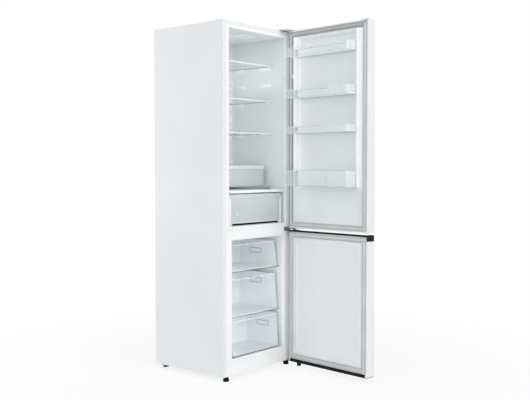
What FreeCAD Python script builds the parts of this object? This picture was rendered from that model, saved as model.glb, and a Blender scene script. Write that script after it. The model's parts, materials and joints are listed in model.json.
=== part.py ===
import FreeCAD, Part
import math
import os
from collections import namedtuple
from types import SimpleNamespace

import Sketcher

# Bottom freezer refrigerator: a fridge compartment over a freezer, each with its own door.
#
# Every piece is drawn in the cabinet's frame with both doors shut: x = 0 is the middle of the
# cabinet, +x its right side, y = 0 the front plane of the cabinet, +y the back, z = 0 the floor.
# Two placements then set the pieces down: one for what stays with the cabinet, and one that
# swings what belongs to a door about the hinge line. The model's origin is on the floor at the
# middle of the ground that the refrigerator covers with its doors open.

DIMENSIONS = [
    # the cabinet
    ("cabinet_width", 595),
    ("cabinet_depth", 552),
    ("cabinet_top", 2000),
    ("underside", 26),
    ("sheet", 0.8),
    ("front_return", 22),
    ("liner_wall", 2),
    ("flange_tuck", 8),
    ("jamb_groove", 1),
    ("jamb_lip", 8),
    ("fridge_side_wall", 49.5),
    ("freezer_side_wall", 69.5),
    ("ceiling_wall", 40),
    ("fridge_back_wall", 114),
    ("freezer_back_wall", 122),
    ("freezer_floor", 118),
    ("freezer_ceiling", 785),
    ("crossbar_height", 77),
    ("hump_step", 138),
    ("hump_top", 338),
    ("hump_wall", 46),
    ("rear_space", 5.4),
    ("sole_space", 22.5),
    ("base_sheet", 1.5),
    ("liner_corner", 30),
    # the doors
    ("door_angle", 84.3),
    ("door_gap", 8),
    ("door_thickness", 62),
    ("door_split", 12),
    ("door_top_drop", 1.5),
    ("door_sill", 27),
    ("door_liner", 1.5),
    ("door_lip", 11),
    ("gasket_inset", 8),
    ("gasket_width", 20),
    ("gasket_thick", 7),
    ("hinge_inset", 14),
    ("hinge_reach", 42.7),
    ("hinge_pin", 5),
    ("pin_depth", 16),
    ("running_gap", 0.05),
    ("seat_gap", 0.3),
    ("swing_gap", 5),
    # the door's storage side
    ("dyke_width", 15),
    ("dyke_rise", 21),
    ("dyke_bottom", 1063),
    ("bin_depth", 94),
    ("bin_wall", 2.2),
    ("bin_gap", 4),
    ("bin_corner", 18),
    ("bin_level_1", 1834),
    ("bin_height_1", 50),
    ("bin_level_2", 1593),
    ("bin_height_2", 52),
    ("bin_level_3", 1388),
    ("bin_height_3", 42),
    ("bin_level_4", 1083),
    ("bin_height_4", 91),
    ("handle_height", 34),
    ("handle_lip", 9),
    # the fridge compartment
    ("shelf_level_1", 1803),
    ("shelf_level_2", 1591),
    ("shelf_level_3", 1397),
    ("shelf_front", 99),
    ("shelf_glass", 4),
    ("shelf_trim", 8),
    ("trim_depth", 12),
    ("shelf_side_gap", 3),
    ("shelf_back_gap", 20),
    ("rib_reach", 9),
    ("rib_height", 7),
    ("rib_front", 113),
    ("rib_middle", 211),
    ("rib_rear_length", 75),
    ("cover_rib_front", 163),
    ("spare_rib_level", 1697),
    ("crisper_front", 135),
    ("crisper_level", 1079),
    ("crisper_height", 112),
    ("crisper_side_gap", 20),
    ("crisper_cover_level", 1204),
    ("cover_trim_gap", 19),
    ("lower_shelf_front", 112),
    ("fresh_height", 172),
    ("fresh_front", 24),
    ("fresh_side_gap", 19),
    ("lid_level", 1061),
    ("lid_front", 8),
    ("lid_sheet", 3),
    ("grip_left_gap", 23),
    ("grip_right_gap", 26),
    ("grip_height", 12.5),
    ("boss_inset", 71),
    ("drawer_wall", 2.2),
    ("duct_width", 180),
    ("duct_depth", 10),
    ("switch_level", 1731),
    ("switch_front", 10),
    ("switch_width", 4.5),
    ("plunger_radius", 1.5),
    ("plunger_reach", 4.5),
    # the freezer compartment
    ("freezer_drawer_gap", 19),
    ("drawer_back_gap", 21),
    ("evaporator_space", 78),
    ("freezer_glass", 4),
    ("freezer_shelf_low", 344),
    ("freezer_shelf_high", 601),
    ("freezer_shelf_front", 27),
    ("ledge_reach", 12),
    ("slot_length", 90),
    ("slot_height", 24),
    # feet, rollers and machinery
    ("foot_radius", 16.5),
    ("foot_inset", 30),
    ("foot_setback", 11),
    ("foot_height", 22.5),
    ("foot_neck", 12),
    ("stud_radius", 4),
    ("bush_radius", 8),
    ("stop_radius", 12.5),
    ("roller_radius", 12.5),
    ("roller_width", 36),
    ("roller_inset", 48.5),
    ("roller_setback", 40),
    ("axle_radius", 3),
    ("hinge_plate", 3),
    ("compressor_radius", 78),
    ("compressor_height", 150),
    ("compressor_side", 70),
    ("pipe_radius", 2.5),
    ("pipe_side_gap", 76.7),
    ("coil_side_gap", 48),
    ("coil_low", 390),
    ("coil_height", 200),
    ("fan_level", 690),
    ("gland_inset", 62),
    ("cover_width", 102),
    ("cover_height", 11),
    ("cap_width", 69),
    ("cap_height", 5),
    ("fan_radius", 52),
    ("inlet_radius", 4.5),
    ("screw_radius", 2),
    ("screw_head", 3.8),
]


class Size:
    """A length that carries both its value and the formula that gives it."""

    def __init__(self, value, text):
        self.value = value
        self.text = text

    def joined(self, other, sign, value):
        return Size(value, f"({self.text} {sign} {other.text})")

    def __add__(self, other):
        other = size(other)
        return self.joined(other, "+", self.value + other.value)

    def __sub__(self, other):
        other = size(other)
        return self.joined(other, "-", self.value - other.value)

    def __mul__(self, other):
        other = size(other)
        return self.joined(other, "*", self.value * other.value)

    def __truediv__(self, other):
        other = size(other)
        return self.joined(other, "/", self.value / other.value)

    def __radd__(self, other):
        return size(other) + self

    def __rsub__(self, other):
        return size(other) - self

    def __rmul__(self, other):
        return size(other) * self

    def __neg__(self):
        return Size(-self.value, f"(0 - {self.text})")


def size(thing):
    return thing if isinstance(thing, Size) else Size(float(thing), repr(float(thing)))


def cosine(angle):
    return Size(math.cos(math.radians(angle.value)), f"cos({angle.text} * 1 deg)")


def sine(angle):
    return Size(math.sin(math.radians(angle.value)), f"sin({angle.text} * 1 deg)")


doc = FreeCAD.newDocument("refrigerator")
sheet = doc.addObject("Spreadsheet::Sheet", "dims")
d = SimpleNamespace()
for row, (alias, number) in enumerate(DIMENSIONS, start=1):
    sheet.set(f"A{row}", alias)
    sheet.set(f"B{row}", str(number))
    sheet.setAlias(f"B{row}", alias)
    setattr(d, alias, Size(float(number), f"dims.{alias}"))
doc.recompute()


# ---------------------------------------------------------------- ways of making a piece

Disc = namedtuple("Disc", "x y radius")
OUT_OF_PLANE = {"XY_Plane": 1, "XZ_Plane": -1, "YZ_Plane": 1}
AXES = {"X": FreeCAD.Vector(1, 0, 0), "Y": FreeCAD.Vector(0, 1, 0), "Z": FreeCAD.Vector(0, 0, 1)}
parts = {}


def bind(thing, name, length):
    thing.setExpression(name, size(length).text)


def box(name, low, high):
    solid = doc.addObject("Part::Box", name)
    for axis, side, a, b in zip("xyz", ("Length", "Width", "Height"), low, high):
        bind(solid, f"Placement.Base.{axis}", a)
        bind(solid, side, size(b) - size(a))
    return solid


def cylinder(name, axis, start, radius, length):
    """A round bar that starts at a point and runs along +X, +Y or +Z."""
    solid = doc.addObject("Part::Cylinder", name)
    solid.Placement.Rotation = FreeCAD.Rotation(AXES["Z"], AXES[axis])
    for letter, value in zip("xyz", start):
        bind(solid, f"Placement.Base.{letter}", value)
    bind(solid, "Radius", radius)
    bind(solid, "Height", length)
    return solid


def fuse(name, pieces):
    whole = doc.addObject("Part::MultiFuse", name)
    whole.Shapes = pieces
    return whole


def cut(name, base, tools):
    whole = doc.addObject("Part::Cut", name)
    whole.Base = base
    whole.Tool = tools[0] if len(tools) == 1 else fuse(name + "_tools", tools)
    return whole


def group(name, pieces):
    whole = doc.addObject("Part::Compound", name)
    whole.Links = pieces
    return whole


def body(name):
    return doc.addObject("PartDesign::Body", name)


def draw(piece, plane, at, loops):
    """A sketch on one of the body's own planes, moved along that plane's axis to `at`."""
    role = {"XY": "XY_Plane", "XZ": "XZ_Plane", "YZ": "YZ_Plane"}[plane]
    support = next(f for f in piece.Origin.OriginFeatures if f.Role == role)
    sketch = piece.newObject("Sketcher::SketchObject", piece.Name + "_sketch")
    sketch.AttachmentSupport = [(support, "")]
    sketch.MapMode = "FlatFace"
    bind(sketch, ".AttachmentOffset.Base.z", OUT_OF_PLANE[role] * size(at))
    for loop in loops:
        if isinstance(loop, Disc):
            draw_circle(sketch, loop)
        else:
            draw_polygon(sketch, [(size(x), size(y)) for x, y in loop])
    return sketch


def pin_point(sketch, curve, end, x, y):
    for kind, length in (("DistanceX", x), ("DistanceY", y)):
        rule = Sketcher.Constraint(kind, -1, 1, curve, end, length.value)
        bind(sketch, f"Constraints[{sketch.addConstraint(rule)}]", length)


def draw_polygon(sketch, corners):
    first = sketch.GeometryCount
    count = len(corners)
    spots = [FreeCAD.Vector(x.value, y.value, 0) for x, y in corners]
    for i in range(count):
        sketch.addGeometry(Part.LineSegment(spots[i], spots[(i + 1) % count]), False)
    for i in range(count):
        following = first + (i + 1) % count
        sketch.addConstraint(Sketcher.Constraint("Coincident", first + i, 2, following, 1))
    for i, (x, y) in enumerate(corners):
        pin_point(sketch, first + i, 1, x, y)


def draw_circle(sketch, disc):
    x, y, radius = size(disc.x), size(disc.y), size(disc.radius)
    centre = FreeCAD.Vector(x.value, y.value, 0)
    curve = sketch.addGeometry(Part.Circle(centre, AXES["Z"], radius.value), False)
    pin_point(sketch, curve, 3, x, y)
    rule = sketch.addConstraint(Sketcher.Constraint("Radius", curve, radius.value))
    bind(sketch, f"Constraints[{rule}]", radius)


def rectangle(x0, y0, x1, y1):
    return [(x0, y0), (x1, y0), (x1, y1), (x0, y1)]


def pad(piece, plane, at, length, *loops):
    """Adds the drawn outline from `at`, for `length` towards the plane's + side."""
    feature = piece.newObject("PartDesign::Pad", piece.Name + "_pad")
    feature.Profile = draw(piece, plane, at, loops)
    bind(feature, "Length", length)
    feature.Reversed = plane == "XZ"
    doc.recompute()
    return feature


def pocket(piece, plane, at, length, *loops):
    """Takes the drawn outline away from `at`, for `length` towards the plane's + side."""
    before = piece.Shape.Volume
    feature = piece.newObject("PartDesign::Pocket", piece.Name + "_pocket")
    feature.Profile = draw(piece, plane, at, loops)
    bind(feature, "Length", length)
    feature.Reversed = plane != "XZ"
    doc.recompute()
    if piece.Shape.Volume >= before:
        raise RuntimeError(f"a pocket of {piece.Name} takes nothing away")
    return feature


def revolve(piece, outline):
    """Turns a half outline, drawn as (radius, height), about the Z axis."""
    feature = piece.newObject("PartDesign::Revolution", piece.Name + "_turned")
    sketch = draw(piece, "XZ", 0, [outline])
    feature.Profile = sketch
    feature.ReferenceAxis = (sketch, ["V_Axis"])
    doc.recompute()
    return feature


def round_edges(piece, radius, chosen):
    """Rounds the edges of a body for which chosen(edge) holds."""
    base = piece.Tip
    names = [f"Edge{i}" for i, edge in enumerate(base.Shape.Edges, start=1) if chosen(edge)]
    if not names:
        raise RuntimeError(f"no edge of {piece.Name} to round")
    feature = piece.newObject("PartDesign::Fillet", piece.Name + "_round")
    feature.Base = (base, names)
    bind(feature, "Radius", radius)
    doc.recompute()
    return feature


def along(edge, axis):
    if not isinstance(edge.Curve, Part.Line):
        return False
    return abs(edge.Curve.Direction.dot(AXES[axis])) > 0.999


def near(value, length):
    return abs(value - size(length).value) < 0.01


# ---------------------------------------------------------------- places in the closed cabinet

half_width = d.cabinet_width / 2
inner_half = half_width - d.sheet
back = d.cabinet_depth - d.sheet
foam_back = back - d.rear_space
fridge_half = half_width - d.fridge_side_wall
freezer_half = half_width - d.freezer_side_wall
fridge_floor = d.freezer_ceiling + d.crossbar_height
fridge_ceiling = d.cabinet_top - d.ceiling_wall
fridge_depth = d.cabinet_depth - d.fridge_back_wall
freezer_depth = d.cabinet_depth - d.freezer_back_wall
hump_front = freezer_depth - d.hump_step
niche_front = hump_front + d.hump_wall
niche_top = d.hump_top - d.hump_wall
plate_top = d.underside + d.base_sheet
foam_bottom = plate_top + d.sole_space
flange_half = half_width - d.front_return
flange_top = d.cabinet_top - d.front_return

door_inner = -d.door_gap
door_outer = -(d.door_gap + d.door_thickness)
split_middle = d.freezer_ceiling + d.crossbar_height / 2
fridge_door_low = split_middle + d.door_split / 2
fridge_door_high = d.cabinet_top - d.door_top_drop
freezer_door_high = split_middle - d.door_split / 2
freezer_door_low = d.door_sill
hinge_x = half_width - d.hinge_inset
hinge_y = -d.hinge_reach

# The ground covered with the doors open runs from the cabinet's left side to the outer corner of
# a door beside its hinge, and from the door's far outer corner to the cabinet's back.
opened_cos = cosine(d.door_angle)
opened_sin = sine(d.door_angle)
outer_drop = hinge_y - door_outer
reach_right = hinge_x + d.hinge_inset * opened_cos + outer_drop * opened_sin
reach_front = hinge_y - (half_width + hinge_x) * opened_sin - outer_drop * opened_cos
shift_x = -(reach_right - half_width) / 2
shift_y = -(reach_front + d.cabinet_depth) / 2


def finish(piece, name, on_door=False, at=(0, 0, 0)):
    """Names a finished piece and sets it down, with its door open if it belongs to one."""
    if piece.TypeId in ("Part::Box", "Part::Cylinder"):
        piece = group(piece.Name + "_set", [piece])
    piece.Label = name
    if on_door:
        piece.Placement.Rotation = FreeCAD.Rotation(AXES["Z"], 0)
        bind(piece, "Placement.Rotation.Angle", d.door_angle)
        turned_x = hinge_x * opened_cos - hinge_y * opened_sin
        turned_y = hinge_x * opened_sin + hinge_y * opened_cos
        bind(piece, "Placement.Base.x", shift_x + hinge_x - turned_x)
        bind(piece, "Placement.Base.y", shift_y + hinge_y - turned_y)
    else:
        bind(piece, "Placement.Base.x", shift_x + at[0])
        bind(piece, "Placement.Base.y", shift_y + at[1])
        bind(piece, "Placement.Base.z", at[2])
    parts[name] = piece
    return piece


# ---------------------------------------------------------------- cabinet: steel, base and foam

roof = d.cabinet_top - d.sheet
foot_x = half_width - d.foot_inset
foot_y = d.foot_setback
roller_x = half_width - d.roller_inset
roller_y = d.cabinet_depth - d.roller_setback
plate_low = d.underside - d.hinge_plate
hinge_screws = [(hinge_x - 50, 22), (hinge_x - 50, 44), (hinge_x - 8, 44)]
sole_screws = [(hinge_x - 40, 30), (hinge_x - 40, 50)]
rail_screws = [hinge_x - 40, hinge_x - 28]


sides = []
for side, word in ((-1, "left"), (1, "right")):
    flank = body(f"side_sheet_{word}")
    pad(flank, "XY", d.underside, d.cabinet_top - d.underside, [
        (side * half_width, 0), (side * flange_half, 0), (side * flange_half, d.sheet),
        (side * inner_half, d.sheet), (side * inner_half, d.cabinet_depth),
        (side * half_width, d.cabinet_depth),
    ])
    sides.append(flank)
lid_sheet = body("top_sheet")
pad(lid_sheet, "XY", roof, d.sheet, [
    (-flange_half, 0), (flange_half, 0), (flange_half, d.sheet), (inner_half, d.sheet),
    (inner_half, d.cabinet_depth), (-inner_half, d.cabinet_depth), (-inner_half, d.sheet),
    (-flange_half, d.sheet),
])
pad(lid_sheet, "XZ", 0, d.sheet, rectangle(-flange_half, flange_top, flange_half, d.cabinet_top))
holes = [Disc(x, y, d.screw_radius) for x, y in hinge_screws]
pocket(lid_sheet, "XY", roof - 1, d.sheet + 2, *holes)
finish(group("shell_sheets", [*sides, lid_sheet]), "cabinet_shell")

panel = box("back_sheet", (-inner_half, back, niche_top), (inner_half, d.cabinet_depth, roof))
finish(panel, "back_panel")

fridge_outer = fridge_half + d.liner_wall
freezer_outer = freezer_half + d.liner_wall
front = d.liner_wall
sill_low = d.freezer_floor - d.liner_wall
cover_top = d.freezer_ceiling + d.liner_wall
shelf_low = fridge_floor - d.liner_wall
roof_low = fridge_ceiling + d.liner_wall
hump_back = hump_front + d.liner_wall
hump_under = d.hump_top - d.liner_wall
slabs = [
    box("foam_roof", (-inner_half, front, roof_low), (inner_half, foam_back, roof)),
    box("foam_fridge_back", (-fridge_outer, fridge_depth + d.liner_wall, shelf_low),
        (fridge_outer, foam_back, roof_low)),
    box("foam_middle", (-inner_half, front, cover_top), (inner_half, foam_back, shelf_low)),
    box("foam_freezer_back", (-freezer_outer, freezer_depth + d.liner_wall, hump_under),
        (freezer_outer, foam_back, cover_top)),
    box("foam_hump", (-freezer_outer, hump_back, niche_top),
        (freezer_outer, foam_back, hump_under)),
    box("foam_hump_front", (-freezer_outer, hump_back, sill_low),
        (freezer_outer, niche_front, niche_top)),
    box("foam_floor", (-freezer_outer, front, foam_bottom),
        (freezer_outer, niche_front, sill_low)),
]
for side, a, b in (("left", -inner_half, -1), ("right", inner_half, 1)):
    for part_of, wall_x, low, high, rear in (
        ("fridge", fridge_outer, shelf_low, roof_low, foam_back),
        ("freezer", freezer_outer, niche_top, cover_top, foam_back),
        ("sole", freezer_outer, foam_bottom, niche_top, niche_front),
    ):
        ends = (a, -wall_x) if b < 0 else (wall_x, a)
        slabs.append(box(f"foam_{part_of}_{side}", (ends[0], front, low), (ends[1], rear, high)))
finish(group("foam_slabs", slabs), "insulation_foam")

plate = body("base_sheet")
pad(plate, "YZ", -inner_half, inner_half * 2, [
    (front, d.underside), (d.cabinet_depth, d.underside), (d.cabinet_depth, plate_top),
    (niche_front + d.base_sheet, plate_top), (niche_front + d.base_sheet, niche_top - d.base_sheet),
    (d.cabinet_depth, niche_top - d.base_sheet), (d.cabinet_depth, niche_top),
    (niche_front, niche_top), (niche_front, plate_top), (front, plate_top),
])
holes = [Disc(x, y, d.screw_radius) for x, y in sole_screws]
pocket(plate, "XY", d.underside - 1, d.base_sheet + 2, *holes)
plate_pieces = [plate]
for side in (-1, 1):
    plate_pieces.append(
        cylinder(f"bush_{side + 2}", "Z", (side * foot_x, foot_y, plate_top - 1), d.bush_radius, 18)
    )
    for edge in (-1, 1):
        cheek_x = side * roller_x + edge * (d.roller_width / 2 + 1.25)
        plate_pieces.append(box(
            f"cheek_{side + 2}_{edge + 2}",
            (cheek_x - 0.75, roller_y - 7, d.roller_radius - 6),
            (cheek_x + 0.75, roller_y + 7, d.underside + 1),
        ))
    plate_pieces.append(cylinder(
        f"axle_{side + 2}", "X",
        (side * roller_x - d.roller_width / 2 - 2, roller_y, d.roller_radius),
        d.axle_radius, d.roller_width + 4,
    ))
gland_x = d.gland_inset - half_width
gland_y = d.cabinet_depth - 8
gland_z = plate_top + 16
plate_pieces.append(box(
    "gland_tab", (gland_x - 14, gland_y, plate_top - 1),
    (gland_x + 14, gland_y + d.base_sheet, plate_top + 30),
))
bores = [
    cylinder(f"stud_bore_{side + 2}", "Z", (side * foot_x, foot_y, 0),
             d.stud_radius + d.running_gap, 60)
    for side in (-1, 1)
]
bores.append(cylinder("gland_hole", "Y", (gland_x, gland_y - 5, gland_z), 8, 20))
finish(cut("base_whole", fuse("base_solid", plate_pieces), bores), "base_plate")

gland = cut("gland_bored", fuse("gland_solid", [
    cylinder("gland_body", "Y", (gland_x, gland_y - 6, gland_z), 8, 13),
    cylinder("gland_collar", "Y", (gland_x, gland_y + d.base_sheet, gland_z), 11, 3),
    cylinder("gland_nut", "Y", (gland_x, gland_y - 3, gland_z), 11, 3),
]), [cylinder("gland_bore", "Y", (gland_x, gland_y - 10, gland_z), d.inlet_radius, 30)])
finish(gland, "cord_gland")

for side, word in ((-1, "left"), (1, "right")):
    foot = body(f"foot_{word}")
    revolve(foot, [
        (0, 0), (d.foot_radius - 1.5, 0), (d.foot_radius, 1.5), (d.foot_radius, d.foot_height - 6),
        (d.foot_neck, d.foot_height), (d.stud_radius, d.foot_height),
        (d.stud_radius, d.foot_height + 20), (0, d.foot_height + 20),
    ])
    finish(foot, f"levelling_foot_{word}", at=(side * foot_x, foot_y, 0))
    start = (side * roller_x - d.roller_width / 2, roller_y, d.roller_radius)
    roller = cut(
        f"roller_bored_{word}",
        cylinder(f"roller_{word}", "X", start, d.roller_radius, d.roller_width),
        [cylinder(f"roller_hole_{word}", "X", start, d.axle_radius + d.running_gap, d.roller_width)],
    )
    finish(roller, f"rear_roller_{word}")

# ---------------------------------------------------------------- liners and front rails

jamb_half = flange_half - d.jamb_groove
jamb_top = flange_top - d.jamb_groove
tuck = d.flange_tuck
fridge_jamb_low = fridge_floor - d.jamb_lip
freezer_jamb_high = d.freezer_ceiling + d.jamb_lip
freezer_jamb_low = d.freezer_floor - d.jamb_lip
shelf_levels = [d.shelf_level_1, d.shelf_level_2, d.shelf_level_3]
glass_drop = d.shelf_glass + 1
lid_low = d.lid_level - d.lid_sheet


def rib_pair(piece, half, reach, outlines):
    """Ribs on both side walls, drawn as outlines of (y, z)."""
    pad(piece, "YZ", -half - 1, reach + 1, *outlines)
    pad(piece, "YZ", half - reach, reach + 1, *outlines)


fridge_liner = body("fridge_tub")
pad(fridge_liner, "XZ", 0, fridge_depth + d.liner_wall,
    rectangle(-fridge_outer, shelf_low, fridge_outer, roof_low))
pad(fridge_liner, "XZ", 0, d.liner_wall,
    rectangle(-jamb_half, fridge_jamb_low, jamb_half, jamb_top))
pad(fridge_liner, "XZ", d.sheet, d.liner_wall - d.sheet,
    rectangle(-flange_half - tuck, fridge_jamb_low, flange_half + tuck, flange_top + tuck))
pocket(fridge_liner, "XZ", -1, fridge_depth + 1,
       rectangle(-fridge_half, fridge_floor, fridge_half, fridge_ceiling))
for sheet_of in (size(0), d.liner_wall):
    round_edges(
        fridge_liner, d.liner_corner + sheet_of,
        lambda edge: near(edge.CenterOfMass.y, fridge_depth + sheet_of) and edge.Length > 300
        and edge.CenterOfMass.z > fridge_floor.value + 100,
    )
rib_tops = [(level - glass_drop - d.seat_gap, d.rib_front) for level in shelf_levels]
rib_tops.append((d.spare_rib_level, d.rib_front))
rib_tops.append((d.crisper_cover_level - glass_drop - d.seat_gap, d.cover_rib_front))
rib_end = fridge_depth - 33
rib_outlines = []
for top, start in rib_tops:
    rib_outlines.append(rectangle(start, top - d.rib_height, d.rib_middle, top))
    rib_outlines.append(rectangle(rib_end - d.rib_rear_length, top - d.rib_height, rib_end, top))
rib_outlines.append(rectangle(26, lid_low - d.rib_height, rib_end, lid_low))
rib_pair(fridge_liner, fridge_half, d.rib_reach, rib_outlines)
finish(fridge_liner, "fridge_liner")

freezer_liner = body("freezer_tub")
pad(freezer_liner, "YZ", -freezer_outer, freezer_outer * 2, [
    (0, sill_low), (hump_back, sill_low), (hump_back, hump_under),
    (freezer_depth + d.liner_wall, hump_under), (freezer_depth + d.liner_wall, cover_top),
    (0, cover_top),
])
pad(freezer_liner, "XZ", 0, d.liner_wall,
    rectangle(-jamb_half, freezer_jamb_low, jamb_half, freezer_jamb_high))
pad(freezer_liner, "XZ", d.sheet, d.liner_wall - d.sheet,
    rectangle(-flange_half - tuck, freezer_jamb_low, flange_half + tuck, freezer_jamb_high))
pocket(freezer_liner, "YZ", -freezer_half, freezer_half * 2, [
    (-1, d.freezer_floor), (hump_front, d.freezer_floor), (hump_front, d.hump_top),
    (freezer_depth, d.hump_top), (freezer_depth, d.freezer_ceiling), (-1, d.freezer_ceiling),
])
cover_y = freezer_depth - d.evaporator_space
ledge_outlines = []
for level, end in ((d.freezer_shelf_low, hump_front - 4), (d.freezer_shelf_high, cover_y - 6)):
    top = level - d.freezer_glass
    ledge_outlines.append(rectangle(d.freezer_shelf_front + 6, top - d.rib_height, end, top))
rib_pair(freezer_liner, freezer_half, d.ledge_reach, ledge_outlines)
finish(freezer_liner, "freezer_liner")

seam = d.seat_gap
bar = cut(
    "crossbar",
    box("crossbar_sheet", (-jamb_half, 0, freezer_jamb_high + seam),
        (jamb_half, d.liner_wall, fridge_jamb_low - seam)),
    [cylinder(f"crossbar_hole_{i}", "Y", (x, -1, split_middle), d.screw_radius, 5)
     for i, x in enumerate(rail_screws)],
)
plinth = box("plinth", (-jamb_half, 0, d.underside), (jamb_half, d.liner_wall, freezer_jamb_low - seam))
finish(group("rails", [bar, plinth]), "front_rails")

# ---------------------------------------------------------------- hinges, their covers and screws

pin_reach = d.pin_depth - 2
top_plate = body("top_hinge_plate")
pad(top_plate, "XY", d.cabinet_top, d.hinge_plate, [
    (hinge_x - 62, 8), (hinge_x - 15, 8), (hinge_x - 15, hinge_y - 13),
    (hinge_x + 10, hinge_y - 13), (hinge_x + 10, 56), (hinge_x - 62, 56),
])
holes = [Disc(x, y, d.screw_radius) for x, y in hinge_screws]
pocket(top_plate, "XY", d.cabinet_top - 1, d.hinge_plate + 2, *holes)
pin_low = fridge_door_high - pin_reach
top_pin = cylinder("top_pin", "Z", (hinge_x, hinge_y, pin_low), d.hinge_pin,
                   d.cabinet_top + 1 - pin_low)
finish(fuse("top_hinge_whole", [top_plate, top_pin]), "top_hinge")

cover = body("hinge_cover_shell")
cover_left = hinge_x - d.cover_width + 12
pad(cover, "XY", d.cabinet_top, d.cover_height,
    rectangle(cover_left, hinge_y - 19, hinge_x + 12, 62))
round_edges(cover, 8, lambda edge: along(edge, "Z"))
round_edges(cover, 2, lambda edge: near(edge.BoundBox.ZMin, d.cabinet_top + d.cover_height))
pocket(cover, "XY", d.cabinet_top, d.cover_height - 2,
       rectangle(cover_left + 2, hinge_y - 17, hinge_x + 10.5, 60))
cap = body("spare_hole_cap")
pad(cap, "XY", d.cabinet_top, d.cap_height,
    rectangle(-half_width + 1, 1, d.cap_width - half_width, d.cap_width))
round_edges(cap, 2, lambda edge: near(edge.CenterOfMass.z, d.cabinet_top + d.cap_height))
finish(group("covers", [cover, cap]), "hinge_covers")

arm_low = split_middle - d.hinge_plate / 2
middle_arm = body("middle_hinge_arm")
pad(middle_arm, "XY", arm_low, d.hinge_plate, [
    (hinge_x - 48, -3), (hinge_x - 20, -3), (hinge_x - 13, hinge_y - 10),
    (hinge_x + 8, hinge_y - 10), (hinge_x + 11, -3), (hinge_x + 11, 0), (hinge_x - 48, 0),
])
pad(middle_arm, "XZ", -3, 3,
    rectangle(hinge_x - 48, split_middle - 11, hinge_x + 11, split_middle + 11))
pocket(middle_arm, "XZ", -4, 6, *[Disc(x, split_middle, d.screw_radius) for x in rail_screws])
middle_pin = cylinder(
    "middle_pin", "Z", (hinge_x, hinge_y, freezer_door_high - pin_reach),
    d.hinge_pin, d.door_split + pin_reach * 2,
)
finish(fuse("middle_hinge_whole", [middle_arm, middle_pin]), "middle_hinge")

sole_plate = body("bottom_hinge_plate")
pad(sole_plate, "XY", plate_low, d.hinge_plate, [
    (hinge_x - 52, 2), (hinge_x - 17, 2), (hinge_x - 17, hinge_y - 49), (hinge_x + 11, hinge_y - 49),
    (hinge_x + 11, 62), (hinge_x - 52, 62),
])
holes = [Disc(x, y, d.screw_radius) for x, y in sole_screws]
pocket(sole_plate, "XY", plate_low - 1, d.hinge_plate + 2,
       Disc(foot_x, foot_y, d.stud_radius + d.running_gap), *holes)
stop_y = hinge_y - 35
stop = body("door_stop_foot")
revolve(stop, [
    (0, 0), (d.stop_radius - 1, 0), (d.stop_radius, 1), (d.stop_radius, 17), (5, 17),
    (5, plate_low + 1), (0, plate_low + 1),
])
bind(stop, "Placement.Base.x", hinge_x)
bind(stop, "Placement.Base.y", stop_y)
sole_pin = cylinder("sole_pin", "Z", (hinge_x, hinge_y, plate_low), d.hinge_pin,
                    freezer_door_low + pin_reach - plate_low)
finish(fuse("bottom_hinge_whole", [sole_plate, stop, sole_pin]), "bottom_hinge")

screws = []


def screw(start, axis, way, grip):
    """A pan head that stands off a face, and a shank that enters it by the grip length."""
    count = len(screws)
    letter = "XYZ".index(axis)
    head = list(start)
    shank = list(start)
    if way > 0:
        head[letter] = start[letter] - size(2)
    else:
        shank[letter] = start[letter] - grip
    screws.append(fuse(f"screw_{count}", [
        cylinder(f"screw_head_{count}", axis, head, d.screw_head, 2),
        cylinder(f"screw_shank_{count}", axis, shank, d.screw_radius, grip),
    ]))


for x, y in hinge_screws:
    screw((x, y, d.cabinet_top + d.hinge_plate), "Z", -1, d.hinge_plate + d.sheet)
for x in rail_screws:
    screw((x, size(-3), split_middle), "Y", 1, 3 + d.liner_wall)
for x, y in sole_screws:
    screw((x, y, plate_low), "Z", 1, d.hinge_plate + d.base_sheet)
finish(group("screws", screws), "cabinet_screws")

# ---------------------------------------------------------------- machinery

niche_middle = (niche_front + d.base_sheet + d.cabinet_depth) / 2
can = body("compressor_can")
stand = plate_top + 12
can_top = stand + d.compressor_height
revolve(can, [
    (0, stand), (d.compressor_radius - 18, stand), (d.compressor_radius, stand + 20),
    (d.compressor_radius, can_top - 55), (d.compressor_radius - 14, can_top - 22),
    (d.compressor_radius - 42, can_top - 4), (d.compressor_radius - 52, can_top), (0, can_top),
])
bind(can, "Placement.Base.y", niche_middle)
bind(can, "Placement.Base.x", d.compressor_side)
can_feet = []
for side in (-1, 1):
    for edge in (-1, 1):
        can_feet.append(cylinder(
            f"compressor_foot_{side + 2}_{edge + 2}", "Z",
            (d.compressor_side + side * 62, niche_middle + edge * 62, plate_top), 9, 12,
        ))
    can_feet.append(box(
        f"compressor_bar_{side + 2}",
        (d.compressor_side + side * 62 - 11, niche_middle - 73, plate_top + 12),
        (d.compressor_side + side * 62 + 11, niche_middle + 73, plate_top + 15),
    ))
finish(fuse("compressor_whole", [can, *can_feet]), "compressor")

tray = body("tray")
pad(tray, "XY", can_top, 30, rectangle(d.compressor_side - 95, niche_middle - 75,
                                       d.compressor_side + 95, niche_middle + 75))
pocket(tray, "XY", can_top + 2, 40, rectangle(d.compressor_side - 93, niche_middle - 73,
                                              d.compressor_side + 93, niche_middle + 73))
finish(tray, "drip_tray")

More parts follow.
